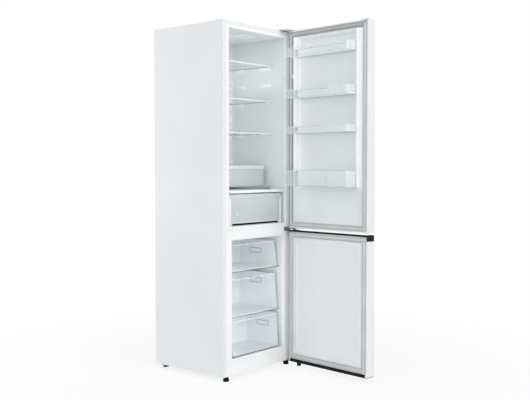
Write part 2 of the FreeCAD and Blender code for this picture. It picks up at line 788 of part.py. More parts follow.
pipe = d.pipe_radius
pipe_pitch = (inner_half - d.pipe_side_gap) / 4
pipe_y = back - pipe
run_low = niche_top + 90
run_high = roof - 120
bends = []
for i in range(9):
    x = (i - 4) * pipe_pitch
    bends.append(cylinder(f"pipe_run_{i}", "Z", (x, pipe_y, run_low), pipe, run_high - run_low))
    if i < 8:
        bend = doc.addObject("Part::Torus", f"pipe_bend_{i}")
        way = 1 if i % 2 else -1
        bend.Placement.Rotation = FreeCAD.Rotation(AXES["X"], 90 * way)
        bend.Angle3 = 180
        bind(bend, "Radius1", pipe_pitch / 2)
        bind(bend, "Radius2", pipe)
        bind(bend, "Placement.Base.x", x + pipe_pitch / 2)
        bind(bend, "Placement.Base.y", pipe_y)
        bind(bend, "Placement.Base.z", run_high if way > 0 else run_low)
        bends.append(bend)
finish(fuse("pipe_whole", bends), "condenser")

fin_pitch = (freezer_half - d.coil_side_gap) / 10
coil = []
for i in range(20):
    x = (i - 9.5) * fin_pitch
    coil.append(box(f"fin_{i}", (x - 0.5, cover_y + 12, d.coil_low),
                    (x + 0.5, freezer_depth, d.coil_low + d.coil_height)))
for i in range(4):
    for j, y in enumerate((cover_y + 26, cover_y + 52)):
        coil.append(cylinder(
            f"coil_tube_{i}_{j}", "X",
            (-(fin_pitch * 10), y, d.coil_low + d.coil_height * (i + 0.5) / 4),
            4, fin_pitch * 20,
        ))
finish(fuse("coil_whole", coil), "evaporator")

fan_z = d.fan_level
motor = [
    cylinder("motor_can", "Y", (0, cover_y + 26, fan_z), 20, 24),
    cylinder("motor_shaft", "Y", (0, cover_y + 6, fan_z), 2.5, 21),
    box("motor_bar", (-(d.fan_radius + 28), cover_y + 36, fan_z - 5),
        (d.fan_radius + 28, cover_y + 42, fan_z + 5)),
]
for side in (-1, 1):
    leg_x = side * (d.fan_radius + 25)
    motor.append(box(f"motor_leg_{side + 2}", (leg_x - 3, cover_y, fan_z - 5),
                     (leg_x + 3, cover_y + 42, fan_z + 5)))
finish(fuse("motor_whole", motor), "evaporator_fan_motor")

fan = [cut("fan_hub_bored", cylinder("fan_hub", "Y", (0, 0, 0), 14, 18),
           [cylinder("fan_bore", "Y", (0, -1, 0), 2.5 + d.running_gap, 20)])]
for i in range(5):
    blade = doc.addObject("Part::Box", f"fan_blade_{i}")
    blade.Length = 24
    blade.Width = 1.5
    bind(blade, "Height", d.fan_radius - 15)
    turned = FreeCAD.Placement(FreeCAD.Vector(0, 9, 0), FreeCAD.Rotation(AXES["Y"], 72 * i))
    pitched = FreeCAD.Placement(FreeCAD.Vector(0, 0, 0), FreeCAD.Rotation(AXES["Z"], 32))
    corner = FreeCAD.Placement(FreeCAD.Vector(-12, -0.75, 12), FreeCAD.Rotation())
    blade.Placement = turned.multiply(pitched).multiply(corner)
    fan.append(blade)
finish(fuse("fan_whole", fan), "evaporator_fan", at=(0, cover_y + 7, fan_z))

back_cover = body("freezer_back_sheet")
pad(back_cover, "XZ", cover_y - 2, 2,
    rectangle(-freezer_half, d.hump_top, freezer_half, d.freezer_ceiling),
    Disc(0, fan_z, d.fan_radius + 3))
vents = []
for i in range(5):
    for side in (-1, 1):
        vent_x = side * (freezer_half - 78)
        vent_z = d.hump_top + 14 + 12 * i
        vents.append(rectangle(vent_x - 45, vent_z, vent_x + 45, vent_z + 5))
pocket(back_cover, "XZ", cover_y - 3, 4, *vents)
finish(back_cover, "freezer_back_cover")

# ---------------------------------------------------------------- inside the fridge compartment

duct = body("duct_shell")
duct_front = fridge_depth - d.duct_depth
duct_low = d.lid_level + 50
duct_high = fridge_ceiling - 60
duct_half = d.duct_width / 2
pad(duct, "XZ", duct_front, d.duct_depth, rectangle(-duct_half, duct_low, duct_half, duct_high))
round_edges(duct, 6, lambda edge: along(edge, "Z") and near(edge.CenterOfMass.y, duct_front))
pocket(duct, "XZ", duct_front + 2, d.duct_depth,
       rectangle(-duct_half + 2, duct_low + 2, duct_half - 2, duct_high - 2))
vents = []
for level in shelf_levels:
    for i in range(3):
        vents.append(rectangle(
            35 - duct_half, level + 60 + 12 * i, duct_half - 35, level + 65 + 12 * i,
        ))
pocket(duct, "XZ", duct_front - 1, 4, *vents)
finish(duct, "fridge_air_duct")

lamp = body("lamp_shell")
pad(lamp, "XY", fridge_ceiling - 9, 9, rectangle(-70, 60, 70, 140))
round_edges(lamp, 5, lambda edge: near(edge.BoundBox.ZMin, fridge_ceiling - 9)
            and near(edge.BoundBox.ZMax, fridge_ceiling - 9))
pocket(lamp, "XY", fridge_ceiling - 7, 8, rectangle(-68, 62, 68, 138))
finish(lamp, "lamp_cover")

switch_x = fridge_half - d.switch_width / 2
switch_z = d.switch_level
switch = cut(
    "switch_bored",
    box("switch_box", (fridge_half - d.switch_width, d.switch_front, switch_z - 11),
        (fridge_half, d.switch_front + 16, switch_z + 11)),
    [cylinder("switch_bore", "Y", (switch_x, d.switch_front - 1, switch_z),
              d.plunger_radius + d.running_gap, 13)],
)
finish(switch, "door_switch_housing")
plunger = cylinder("plunger", "Y", (switch_x, d.switch_front - d.plunger_reach, switch_z),
                   d.plunger_radius, d.plunger_reach + 8)
finish(plunger, "door_switch_plunger")

glass_half = fridge_half - d.shelf_side_gap
glass_rear = fridge_depth - d.shelf_back_gap


def shelf(glass_name, trim_name, level, start, trim_half):
    """A glass plate whose front edge sits in a trim with a groove along its back."""
    under = level - glass_drop
    top = level - 1
    end = start + d.trim_depth
    glass = box(glass_name + "_pane", (-glass_half, start + 3, under), (glass_half, glass_rear, top))
    finish(glass, glass_name)
    trim = body(trim_name + "_bar")
    pad(trim, "YZ", -trim_half, trim_half * 2, [
        (start, level - d.shelf_trim), (end, level - d.shelf_trim), (end, under),
        (start + 3, under), (start + 3, top), (end, top), (end, level), (start, level),
    ])
    finish(trim, trim_name)


for number, level in enumerate(shelf_levels, start=1):
    shelf(f"shelf_glass_{number}", f"shelf_trim_{number}", level, d.shelf_front, glass_half)
shelf("crisper_cover_glass", "crisper_cover_trim", d.crisper_cover_level,
      d.crisper_front + 13, fridge_half - d.cover_trim_gap)

deck_top = d.crisper_level
deck_start = d.lower_shelf_front + d.trim_depth
lid = body("lid_moulding")
pad(lid, "YZ", -glass_half, glass_half * 2, [
    (d.lid_front, d.lid_level - 14), (d.lid_front + 12, d.lid_level - 14),
    (d.lid_front + 12, lid_low), (deck_start + 3, lid_low), (deck_start + 3, deck_top - 3),
    (glass_rear, deck_top - 3), (glass_rear, deck_top), (deck_start, deck_top),
    (deck_start, d.lid_level), (d.lid_front, d.lid_level),
])
for i in range(3):
    middle = (i - 1) * (glass_half - 1.5)
    pad(lid, "YZ", middle - 1.5, 3,
        rectangle(deck_start + 1, lid_low, glass_rear, deck_top - 1))
finish(lid, "fresh_zone_lid")
dark_trim = box(
    "dark_bar", (-glass_half + 4, d.lower_shelf_front, deck_top - 13),
    (glass_half - 4, deck_start, deck_top),
)
finish(dark_trim, "lower_shelf_trim")


def drawer(name, half, front_low, front_high, rear, low, high, rim):
    """An open-topped drawer with a front that may lean, walls of one thickness and a rim."""
    piece = body(name + "_shell")
    wall = d.drawer_wall
    core = half - rim
    inner = core - wall
    pad(piece, "YZ", -core, core * 2,
        [(front_low, low), (rear, low), (rear, high), (front_high, high)])
    if size(rim).value > 0:
        rim_front = front_high - 1
        pad(piece, "XY", high - 3, 3, rectangle(-half, rim_front, half, rear + rim))
    pocket(piece, "YZ", -inner, inner * 2, [
        (front_low + wall, low + wall), (rear - wall, low + wall), (rear - wall, high + 1),
        (front_high + wall, high + 1),
    ])
    return piece


crisper_low = deck_top + d.seat_gap
crisper = drawer(
    "crisper_drawer", fridge_half - d.crisper_side_gap, d.crisper_front + 3, d.crisper_front, glass_rear - 4,
    crisper_low, crisper_low + d.crisper_height, 3,
)
finish(crisper, "crisper_drawer")

fresh_low = fridge_floor + d.seat_gap
fresh_half = fridge_half - d.fresh_side_gap
fresh = drawer("fresh_drawer", fresh_half, d.fresh_front, d.fresh_front, fridge_depth - 12,
               fresh_low, fresh_low + d.fresh_height, 0)
grip_low = fresh_low + d.drawer_wall
grip_high = grip_low + d.grip_height
grip_left = d.grip_left_gap - fresh_half
grip_right = fresh_half - d.grip_right_gap
pocket(fresh, "XZ", d.fresh_front - 1, d.drawer_wall + 2,
       rectangle(grip_left, grip_low, grip_right, grip_high))
pad(fresh, "XZ", d.fresh_front - 2, 3, Disc(d.boss_inset - fresh_half, fresh_low + 62, 6))
finish(fresh, "fresh_drawer")
grip = body("grip_shell")
pad(grip, "XZ", d.fresh_front, 11, rectangle(grip_left, grip_low, grip_right, grip_high))
pocket(grip, "XZ", d.fresh_front - 1, 10,
       rectangle(grip_left + 2, grip_low + 1.6, grip_right - 2, grip_high - 1.6))
finish(grip, "fresh_drawer_grip")

# ---------------------------------------------------------------- inside the freezer compartment

panes = []
for i, level in enumerate((d.freezer_shelf_low, d.freezer_shelf_high)):
    panes.append(box(
        f"freezer_pane_{i}", (-freezer_half + 1.5, d.freezer_shelf_front, level - d.freezer_glass),
        (freezer_half - 1.5, cover_y - 2, level),
    ))
finish(group("panes", panes), "freezer_shelves")

freezer_drawer_half = freezer_half - d.freezer_drawer_gap
long_rear = cover_y - d.drawer_back_gap
short_rear = hump_front - d.drawer_back_gap + 3
for number, base, low, top, front_low, front_high, rear, slot in (
    (1, d.freezer_shelf_high, 5, d.freezer_ceiling - 34, 20, 45, long_rear, (152, 69)),
    (2, d.freezer_shelf_low, 5, d.freezer_shelf_high - 48, 19, 42, long_rear, (152, 143)),
    (3, d.freezer_floor, 3, d.freezer_shelf_low - 27, 12, 27, short_rear, (94, 114)),
):
    name = f"freezer_drawer_{number}"
    piece = drawer(name, freezer_drawer_half, size(front_low), size(front_high), rear,
                   base + low, top, 3)
    slot_front, slot_low = slot
    pocket(piece, "YZ", -freezer_drawer_half, freezer_drawer_half * 2,
           rectangle(slot_front, base + low + slot_low, slot_front + d.slot_length,
                     base + low + slot_low + d.slot_height))
    round_edges(piece, 8, lambda edge: along(edge, "X") and edge.Length < 4
                and slot_front - 1 < edge.CenterOfMass.y < slot_front + 100)
    for side in (-1, 1):
        runner_x = side * (freezer_drawer_half - 30)
        pad(piece, "XY", base + d.seat_gap, low + 1 - d.seat_gap,
            rectangle(runner_x - 3, front_low + 12, runner_x + 3, rear - 12))
    finish(piece, name)

# ---------------------------------------------------------------- the fridge door

door_half = half_width
skin_in = door_inner - d.sheet
liner_back = door_inner - d.door_liner
liner_half = door_half - d.door_lip - 0.5
cap_thick = size(4)
boss_x = hinge_x - 13.5


def skin(name, low, high):
    """A sheet wrapped round the front and both edges of a door, with a lip along each."""
    piece = body(name + "_sheet")
    inner = door_half - d.sheet
    lip = door_half - d.door_lip
    pad(piece, "XY", low, high - low, [
        (-door_half, door_outer), (door_half, door_outer), (door_half, door_inner),
        (lip, door_inner), (lip, skin_in), (inner, skin_in), (inner, door_outer + d.sheet),
        (-inner, door_outer + d.sheet), (-inner, skin_in), (-lip, skin_in), (-lip, door_inner),
        (-door_half, door_inner),
    ])
    finish(piece, name, on_door=True)


def gasket(name, low, high):
    """Four strips that run round the inner face of a door."""
    outer = door_half - d.gasket_inset
    inner = outer - d.gasket_width
    face = door_inner + d.gasket_thick
    strips = [
        box(name + "_low", (-outer, door_inner, low), (outer, face, low + d.gasket_width)),
        box(name + "_high", (-outer, door_inner, high - d.gasket_width), (outer, face, high)),
    ]
    for side, a, b in (("left", -outer, -inner), ("right", inner, outer)):
        strips.append(box(f"{name}_{side}", (a, door_inner, low + d.gasket_width),
                          (b, face, high - d.gasket_width)))
    finish(group(name + "_frame", strips), name, on_door=True)


skin("fridge_door_skin", fridge_door_low + cap_thick, fridge_door_high - cap_thick)
caps = []
for word, low, boss_low, bore_low in (
    ("low", fridge_door_low, fridge_door_low, fridge_door_low - 1),
    ("high", fridge_door_high - cap_thick, fridge_door_high - 20,
     fridge_door_high - d.pin_depth - 1),
):
    caps.append(cut(
        f"cap_{word}_bored",
        fuse(f"cap_{word}_solid", [
            box(f"cap_{word}", (-door_half, door_outer, low), (door_half, door_inner, low + cap_thick)),
            cylinder(f"cap_{word}_boss", "Z", (hinge_x, hinge_y, boss_low), 10, 20),
        ]),
        [cylinder(f"cap_{word}_bore", "Z", (hinge_x, hinge_y, bore_low),
                  d.hinge_pin + d.running_gap, d.pin_depth + 2)],
    ))
finish(group("caps", caps), "fridge_door_caps", on_door=True)
gasket("fridge_door_gasket", fridge_door_low + d.gasket_inset, fridge_door_high - d.gasket_inset)

dyke_out = fridge_half - d.swing_gap
dyke_in = dyke_out - d.dyke_width
dyke_top = fridge_ceiling - 6
crest = door_inner + d.dyke_rise
slope = size(20)
door_liner = body("fridge_door_tub")
pad(door_liner, "XZ", liner_back, d.door_liner,
    rectangle(-liner_half, fridge_door_low + cap_thick, liner_half, fridge_door_high - cap_thick))
foam_dykes = []
for side in (-1, 1):
    low_x = dyke_in if side > 0 else -dyke_out
    pad(door_liner, "YZ", low_x, d.dyke_width, [
        (liner_back, d.dyke_bottom), (crest, d.dyke_bottom + slope), (crest, dyke_top),
        (liner_back, dyke_top),
    ])
    pocket(door_liner, "YZ", low_x + 1.5, d.dyke_width - 3,
           rectangle(liner_back - 1, d.dyke_bottom + slope + 2, crest - 1.5, dyke_top - 1.5))
    foam_dykes.append(box(
        f"foam_dyke_{side + 2}", (low_x + 1.5, liner_back, d.dyke_bottom + slope + 2),
        (low_x + d.dyke_width - 1.5, crest - 1.5, dyke_top - 1.5),
    ))
pad(door_liner, "XZ", liner_back, d.switch_front - d.plunger_reach - 0.5 - liner_back,
    rectangle(dyke_out - 1, switch_z - 5, switch_x + 1.7, switch_z + 5))
pad(door_liner, "YZ", -dyke_in - 1, dyke_in * 2 + 2, [
    (liner_back, dyke_top - 26), (door_inner, dyke_top - 26), (door_inner + 10, dyke_top - 12),
    (door_inner + 10, dyke_top), (liner_back, dyke_top),
])
pad(door_liner, "XZ", door_inner - 1, 4,
    rectangle(-dyke_out, fridge_floor + 8, dyke_out, d.dyke_bottom - 10))
bin_half = dyke_in - d.bin_gap
bin_back = door_inner + 4
bin_front = bin_back + d.bin_depth
bins = [
    (d.bin_level_1, d.bin_height_1), (d.bin_level_2, d.bin_height_2),
    (d.bin_level_3, d.bin_height_3), (d.bin_level_4, d.bin_height_4),
]
for side in (-1, 1):
    strips = []
    for i, (low, height) in enumerate(bins):
        strip_high = dyke_top - 40 if i == 0 else bins[i - 1][0] - 20
        strips.append(rectangle(side * (bin_half - 24), low + 10, side * (bin_half + 2), strip_high))
        boss_high = low + height - 14 - d.seat_gap
        boss_in = bin_half + d.seat_gap
        boss_x0 = boss_in if side > 0 else -dyke_in - 1
        pad(door_liner, "YZ", boss_x0, dyke_in + 1 - boss_in,
            rectangle(bin_back + 3, boss_high - 9, bin_back + 13, boss_high))
    pad(door_liner, "XZ", door_inner - 1, 4, *strips)
finish(door_liner, "fridge_door_liner", on_door=True)

skin_half = door_half - d.sheet
fill_low = fridge_door_low + 20
fill_high = fridge_door_high - 20
foam_front = door_outer + d.sheet
fill = [
    box("foam_fridge_door", (-skin_half, foam_front, fill_low), (skin_half, liner_back, fill_high)),
    box("foam_fridge_door_low", (-skin_half, foam_front, fridge_door_low + cap_thick),
        (boss_x, liner_back, fill_low)),
    box("foam_fridge_door_high", (-skin_half, foam_front, fill_high),
        (boss_x, liner_back, fridge_door_high - cap_thick)),
]
finish(group("fridge_door_fill", fill + foam_dykes), "fridge_door_foam", on_door=True)

for number, (low, height) in enumerate(bins, start=1):
    piece = body(f"bin_{number}")
    wall = d.bin_wall
    pad(piece, "XY", low, height, rectangle(-bin_half, bin_back, bin_half, bin_front))
    pocket(piece, "XY", low + wall, height,
           rectangle(-bin_half + wall, bin_back + wall, bin_half - wall, bin_front - wall))
    for inset in (wall, size(0)):
        round_edges(
            piece, d.bin_corner - inset,
            lambda edge: along(edge, "Z") and near(edge.CenterOfMass.y, bin_front - inset),
        )
    ear_reach = d.bin_gap - d.seat_gap
    ear = rectangle(bin_back + 3, low + height - 14, bin_back + 13, low + height - 3)
    pad(piece, "YZ", -bin_half - ear_reach, ear_reach + 1, ear)
    pad(piece, "YZ", bin_half - 1, ear_reach + 1, ear)
    finish(piece, f"door_bin_{number}", on_door=True)

# ---------------------------------------------------------------- the freezer door

handle_low = freezer_door_high - d.handle_height
skin("freezer_door_skin", freezer_door_low + 3, handle_low)
gasket("freezer_door_gasket", freezer_door_low + 21, freezer_door_high - d.handle_lip - 1)

grip_half = hinge_x - 15
handle = body("handle_bar")
pad(handle, "XY", handle_low, d.handle_height,
    rectangle(-door_half, door_outer, door_half, door_inner))
pocket(handle, "XY", handle_low + 2, d.handle_height,
       rectangle(-grip_half, door_outer + 3, grip_half, door_outer + 32))
pocket(handle, "XY", handle_low + 22, d.handle_height,
       rectangle(-grip_half, door_outer - 1, grip_half, door_outer + 4))
pocket(handle, "XY", handle_low - 1, d.handle_height - d.handle_lip + 1,
       rectangle(-grip_half, door_outer + 34, grip_half, door_inner + 1))
pocket(handle, "XY", freezer_door_high - d.pin_depth - 1, d.pin_depth + 2,
       Disc(hinge_x, hinge_y, d.hinge_pin + d.running_gap))
finish(handle, "freezer_door_handle", on_door=True)

trim = body("base_bar")
pad(trim, "XY", freezer_door_low, 3, rectangle(-door_half, door_outer, door_half, door_inner))
pad(trim, "XY", freezer_door_low + 2, 19,
    rectangle(-liner_half, liner_back - 1, liner_half, door_inner))
pad(trim, "XY", freezer_door_low, 20, Disc(hinge_x, hinge_y, 10))
pocket(trim, "XY", freezer_door_low - 1, d.pin_depth + 2,
       Disc(hinge_x, hinge_y, d.hinge_pin + d.running_gap))
finish(trim, "freezer_door_base", on_door=True)

panel_low = freezer_door_low + 21
panel_high = freezer_door_high - d.handle_lip
steps = body("freezer_door_tub")
pad(steps, "XZ", liner_back, d.door_liner, rectangle(-liner_half, panel_low, liner_half, handle_low))
pad(steps, "XZ", liner_back, d.door_liner,
    rectangle(-grip_half, handle_low - 1, grip_half, panel_high))
pad(steps, "XZ", liner_back, d.door_liner + 2,
    rectangle(37.5 - door_half, panel_low + 28, door_half - 37.5, panel_high - 30))
pad(steps, "XZ", liner_back, d.door_liner + 5,
    rectangle(51.5 - door_half, panel_low + 42, door_half - 51.5, panel_high - 44))
pocket(steps, "XZ", liner_back + 2.5, 8,
       rectangle(71.5 - door_half, panel_low + 62, door_half - 71.5, panel_high - 64))
finish(steps, "freezer_door_liner", on_door=True)

fill = [
    box("foam_freezer_door", (-skin_half, foam_front, panel_low), (skin_half, liner_back, handle_low)),
    box("foam_freezer_door_low", (-skin_half, foam_front, freezer_door_low + 3),
        (boss_x, liner_back - 1, panel_low)),
    box("foam_freezer_door_high", (-grip_half, door_outer + 34, handle_low),
        (grip_half, liner_back, panel_high)),
]
finish(group("freezer_door_fill", fill), "freezer_door_foam", on_door=True)

# ---------------------------------------------------------------- checking and writing

doc.recompute()
for thing in doc.Objects:
    if "Invalid" in thing.State or "Error" in thing.State:
        raise RuntimeError(f"{thing.Name} is not sound: {thing.State}")
os.makedirs("parts", exist_ok=True)
for name, piece in parts.items():
    shape = piece.Shape
    if shape.isNull() or not shape.isValid():
        raise RuntimeError(f"{name} has no valid shape")
    shape.exportStep(f"parts/{name}.step")
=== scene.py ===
import json
import math

import bmesh
import bpy
from mathutils import Matrix, Vector


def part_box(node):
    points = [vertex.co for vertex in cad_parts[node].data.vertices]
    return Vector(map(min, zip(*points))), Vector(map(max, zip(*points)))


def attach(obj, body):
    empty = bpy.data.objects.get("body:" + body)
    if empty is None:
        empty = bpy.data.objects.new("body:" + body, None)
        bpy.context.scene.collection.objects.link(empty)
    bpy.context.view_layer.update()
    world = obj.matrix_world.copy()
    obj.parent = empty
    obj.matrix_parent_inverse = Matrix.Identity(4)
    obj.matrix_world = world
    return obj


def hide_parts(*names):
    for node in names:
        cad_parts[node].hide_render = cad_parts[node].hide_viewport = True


# The looks of a refrigerator with a freezer below, both doors open. Pieces are modelled in the
# cabinet's own frame with the doors shut, in millimetres: x = 0 is the cabinet's middle, y = 0 its
# front plane and z = 0 the floor. settle() then sets each piece down where its body stands. A half
# is half a width. A face or an edge lies along an axis where its direction passes ALONG.

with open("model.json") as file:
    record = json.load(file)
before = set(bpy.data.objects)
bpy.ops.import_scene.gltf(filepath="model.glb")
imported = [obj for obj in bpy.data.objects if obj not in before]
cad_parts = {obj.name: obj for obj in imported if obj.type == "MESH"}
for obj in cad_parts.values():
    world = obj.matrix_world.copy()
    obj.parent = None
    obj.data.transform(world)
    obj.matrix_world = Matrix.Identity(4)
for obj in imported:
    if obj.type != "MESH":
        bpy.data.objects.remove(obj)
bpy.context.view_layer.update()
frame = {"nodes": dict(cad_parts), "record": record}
bpy.ops.object.select_all(action="DESELECT")

MM = 0.001
SLOT = {part["node"]: part["material_slot"] for part in frame["record"]["subparts"]}
BODY = {node: body for body, nodes in frame["record"]["behaviour"]["bodies"].items() for node in nodes}

shell_low, shell_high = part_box("cabinet_shell")
MIDDLE = (shell_low.x + shell_high.x) / 2
FRONT = shell_low.y
HINGE = Vector((283.5, -42.7, 0))
DOOR_ANGLE = math.radians(84.3)

HALF = 297.5
DEPTH = 552
TOP = 2000
# The half, floor, ceiling and depth of each compartment.
FRIDGE = (248, 862, 1960, 438)
FREEZER = (228, 118, 785, 430)
DOOR_OUT = -70
DOOR_IN = -8
JAMB_HALF = 275.4
JAMB_TOP = 1977.9
SEAL_OUT = 294
SEAL_WIDTH = 32
SEAL_IN = SEAL_OUT - SEAL_WIDTH
DRAWER_WALL = 2.2
STRIP_HALF = 241
ALONG = 0.9


# ------ camera, lamps, world and floor

def level(value):
    """The linear level of a colour channel given from 0 to 255."""
    share = value / 255
    return share / 12.92 if share <= 0.04045 else ((share + 0.055) / 1.055) ** 2.4


def colour(red, green, blue):
    return (level(red), level(green), level(blue), 1)


def set_camera():
    lens = bpy.data.cameras.new("camera")
    lens.lens = 55.67
    lens.sensor_width = 36
    camera = bpy.data.objects.new("camera", lens)
    camera.location = (-3.6053, -3.0272, 1.1898)
    camera.rotation_euler = (math.radians(87.75), 0, math.radians(-50.04))
    bpy.context.scene.collection.objects.link(camera)
    bpy.context.scene.camera = camera


def set_sun(name, place, strength, spread):
    """Broad light from the direction of a place."""
    stand_lamp(name, "SUN", place, (0, 0, 0), strength).angle = math.radians(spread)


def set_panel(name, place, target, power, width, height):
    """A glowing panel at a place, aimed at a target, that no picture shows."""
    lamp = stand_lamp(name, "AREA", place, target, power)
    lamp.shape = "RECTANGLE"
    lamp.size, lamp.size_y = width, height
    stand = bpy.data.objects[name]
    stand.visible_camera = stand.visible_glossy = stand.visible_transmission = False


def stand_lamp(name, kind, place, target, energy):
    lamp = bpy.data.lights.new(name, kind)
    lamp.energy = energy
    stand = bpy.data.objects.new(name, lamp)
    stand.location = place
    stand.rotation_euler = (Vector(target) - Vector(place)).to_track_quat("-Z", "Y").to_euler()
    bpy.context.scene.collection.objects.link(stand)
    return lamp


def seen_directly(nodes, links, *rays):
    """1 for rays of the named kinds, 0 for the light that falls on things."""
    path = nodes.new("ShaderNodeLightPath")
    found = path.outputs[rays[0]]
    for ray in rays[1:]:
        either = nodes.new("ShaderNodeMath")
        either.operation = "MAXIMUM"
        links.new(found, either.inputs[0])
        links.new(path.outputs[ray], either.inputs[1])
        found = either.outputs[0]
    return found


def span(nodes, links, value, source, target=(0, 1), course="LINEAR"):
    """A value carried over from one range to another."""
    spread = nodes.new("ShaderNodeMapRange")
    spread.interpolation_type = course
    for socket, bound in zip(("From Min", "From Max", "To Min", "To Max"), (*source, *target)):
        spread.inputs[socket].default_value = bound
    links.new(value, spread.inputs["Value"])
    return spread.outputs["Result"]


def set_world():
    world = bpy.data.worlds.new("studio")
    bpy.context.scene.world = world
    world.use_nodes = True
    nodes, links = world.node_tree.nodes, world.node_tree.links
    backdrop = nodes["Background"]
    backdrop.inputs["Color"].default_value = (1, 1, 1, 1)
    seen = seen_directly(nodes, links, "Is Camera Ray", "Is Glossy Ray", "Is Transmission Ray")
    links.new(span(nodes, links, seen, (0, 1), (0.5, 1)), backdrop.inputs["Strength"])


def set_floor():
    bpy.ops.mesh.primitive_plane_add(size=40, location=(0, 0, 0))
    floor = bpy.context.object
    floor.name = "floor"
    paper = bpy.data.materials.new("studio_paper")
    paper.use_nodes = True
    nodes, links = paper.node_tree.nodes, paper.node_tree.links
    matt = nodes["Principled BSDF"]
    matt.inputs["Base Color"].default_value = (0.93, 0.93, 0.93, 1)
    matt.inputs["Roughness"].default_value = 0.9
    matt.inputs["Specular IOR Level"].default_value = 0.1
    glow = nodes.new("ShaderNodeEmission")
    where = nodes.new("ShaderNodeTexCoord").outputs["Object"]
    length = nodes.new("ShaderNodeVectorMath")
    length.operation = "LENGTH"
    links.new(where, length.inputs[0])
    fade = span(nodes, links, length.outputs["Value"], (0.7, 2.6), (0.85, 1), "SMOOTHSTEP")
    share = nodes.new("ShaderNodeMath")
    share.operation = "MULTIPLY"
    links.new(fade, share.inputs[1])
    mix = nodes.new("ShaderNodeMixShader")
    links.new(seen_directly(nodes, links, "Is Camera Ray"), share.inputs[0])
    links.new(share.outputs[0], mix.inputs["Fac"])
    links.new(matt.outputs["BSDF"], mix.inputs[1])
    links.new(glow.outputs["Emission"], mix.inputs[2])
    links.new(mix.outputs["Shader"], nodes["Material Output"].inputs["Surface"])
    floor.data.materials.append(paper)


bpy.context.scene.view_settings.view_transform = "Standard"
set_camera()
set_sun("front_light", (-0.7, -4.2, 1.1), 1.48, 55)
set_sun("left_light", (-4.5, 0.3, 1.9), 0.54, 60)
set_sun("right_light", (4.5, 0.5, 1.5), 0.3, 60)
set_panel("rear_left_panel", (-1.7, 2.3, 1.3), (-0.3, 0.5, 1.2), 11, 1, 1.6)
set_panel("top_panel", (0, -0.6, 4.6), (0, 0, 0), 26, 2.6, 2.6)
# Weak panels: the place from the middle, front plane and floor, the way it faces, power and size.
for fill, across, back, up, facing, power, width, height in (
    ("fridge_fill", -0.23, 0.26, 1.39, (1, 0, 0), 0.42, 0.3, 0.84),
    ("crisper_fill", -0.215, 0.27, 1.135, (1, 0, 0), 0.075, 0.22, 0.09),
    ("fresh_fill", -0.22, 0.22, 0.95, (1, 0, 0), 0.2, 0.34, 0.14),
    ("freezer_fill_1", -0.195, 0.17, 0.68, (1, 0, 0), 0.13, 0.22, 0.12),
    ("freezer_fill_2", -0.195, 0.17, 0.45, (1, 0, 0), 0.19, 0.22, 0.18),
    ("freezer_fill_3", -0.195, 0.14, 0.22, (1, 0, 0), 0.17, 0.2, 0.17),
    ("ceiling_fill", -0.04, 0.2, 1.63, (0, 0.01, 0.37), 0.42, 0.36, 0.3),
    ("fridge_mouth_fill", 0, -0.01, 1.45, (0, 1, 0), 0.22, 0.45, 0.95),
    ("freezer_mouth_fill", 0, -0.01, 0.45, (0, 1, 0), 0.35, 0.42, 0.6),
    ("hinge_side_fill", 0.16, -0.13, 1.42, (0.91, 0.41, 0), 0.06, 0.05, 1),
):
    spot = Vector((MIDDLE + across, FRONT + back, up))
    set_panel(fill, spot, spot + Vector(facing), power, width, height)
set_world()
set_floor()


# ------ finishes

def new_finish(name):
    finish = bpy.data.materials.new(name)
    finish.use_nodes = True
    nodes, links = finish.node_tree.nodes, finish.node_tree.links
    where = nodes.new("ShaderNodeTexCoord").outputs["Object"]
    return finish, nodes, links, nodes["Principled BSDF"], where


def noise(nodes, links, where, scale, detail=2, stretch=(1, 1, 1)):
    """Cloudy values from 0 to 1, with features of about 1 / scale metres."""
    mapping = nodes.new("ShaderNodeMapping")
    mapping.inputs["Scale"].default_value = stretch
    links.new(where, mapping.inputs["Vector"])
    cloud = nodes.new("ShaderNodeTexNoise")
    cloud.inputs["Scale"].default_value = scale
    cloud.inputs["Detail"].default_value = detail
    links.new(mapping.outputs["Vector"], cloud.inputs["Vector"])
    return cloud.outputs["Fac"]


def between(nodes, links, value, low, high):
    return span(nodes, links, value, (0.3, 0.7), (low, high))


def on_the_way(nodes, links, where, axis, start, end):
    """0 to 1 from one place on an axis to another, in metres."""
    split = nodes.new("ShaderNodeSeparateXYZ")
    links.new(where, split.inputs["Vector"])
    return span(nodes, links, split.outputs[axis], (start, end))


def shades(nodes, links, value, *stops):
    """A colour that runs through stops of (place, colour) as the value goes from 0 to 1."""
    ramp = nodes.new("ShaderNodeValToRGB")
    points = ramp.color_ramp.elements
    while len(points) < len(stops):
        points.new(0.5)
    for point, (place, tint) in zip(points, stops):
        point.position = place
        point.color = tint
    links.new(value, ramp.inputs["Fac"])
    return ramp.outputs["Color"]


def raised(nodes, links, shader, value, height):
    bump = nodes.new("ShaderNodeBump")
    bump.inputs["Strength"].default_value = 0.6
    bump.inputs["Distance"].default_value = height
    links.new(value, bump.inputs["Height"])
    links.new(bump.outputs["Normal"], shader.inputs["Normal"])


def moulded(name, dark, light, rough, cloud=3, grain=900, height=0.00004, shine=0.5):
    """A finish with a faint drift of colour, uneven gloss and a fine grain."""
    finish, nodes, links, shader, where = new_finish(name)
    drift = noise(nodes, links, where, cloud)
    tones = shades(nodes, links, drift, (0.35, colour(*dark)), (0.65, colour(*light)))
    links.new(tones, shader.inputs["Base Color"])
    fine = noise(nodes, links, where, grain, 3)
    links.new(between(nodes, links, fine, rough - 0.05, rough + 0.05), shader.inputs["Roughness"])
    raised(nodes, links, shader, fine, height)
    shader.inputs["Specular IOR Level"].default_value = shine
    return finish


def seal_shade(name, dark, light):
    """A dull grey for painted shade on the soft seals: in their grooves, in the hinge-side gap and
    along the top.
    """
    return moulded(name, dark, light, 0.7, 8, 1500, 0.00006, 0.2)


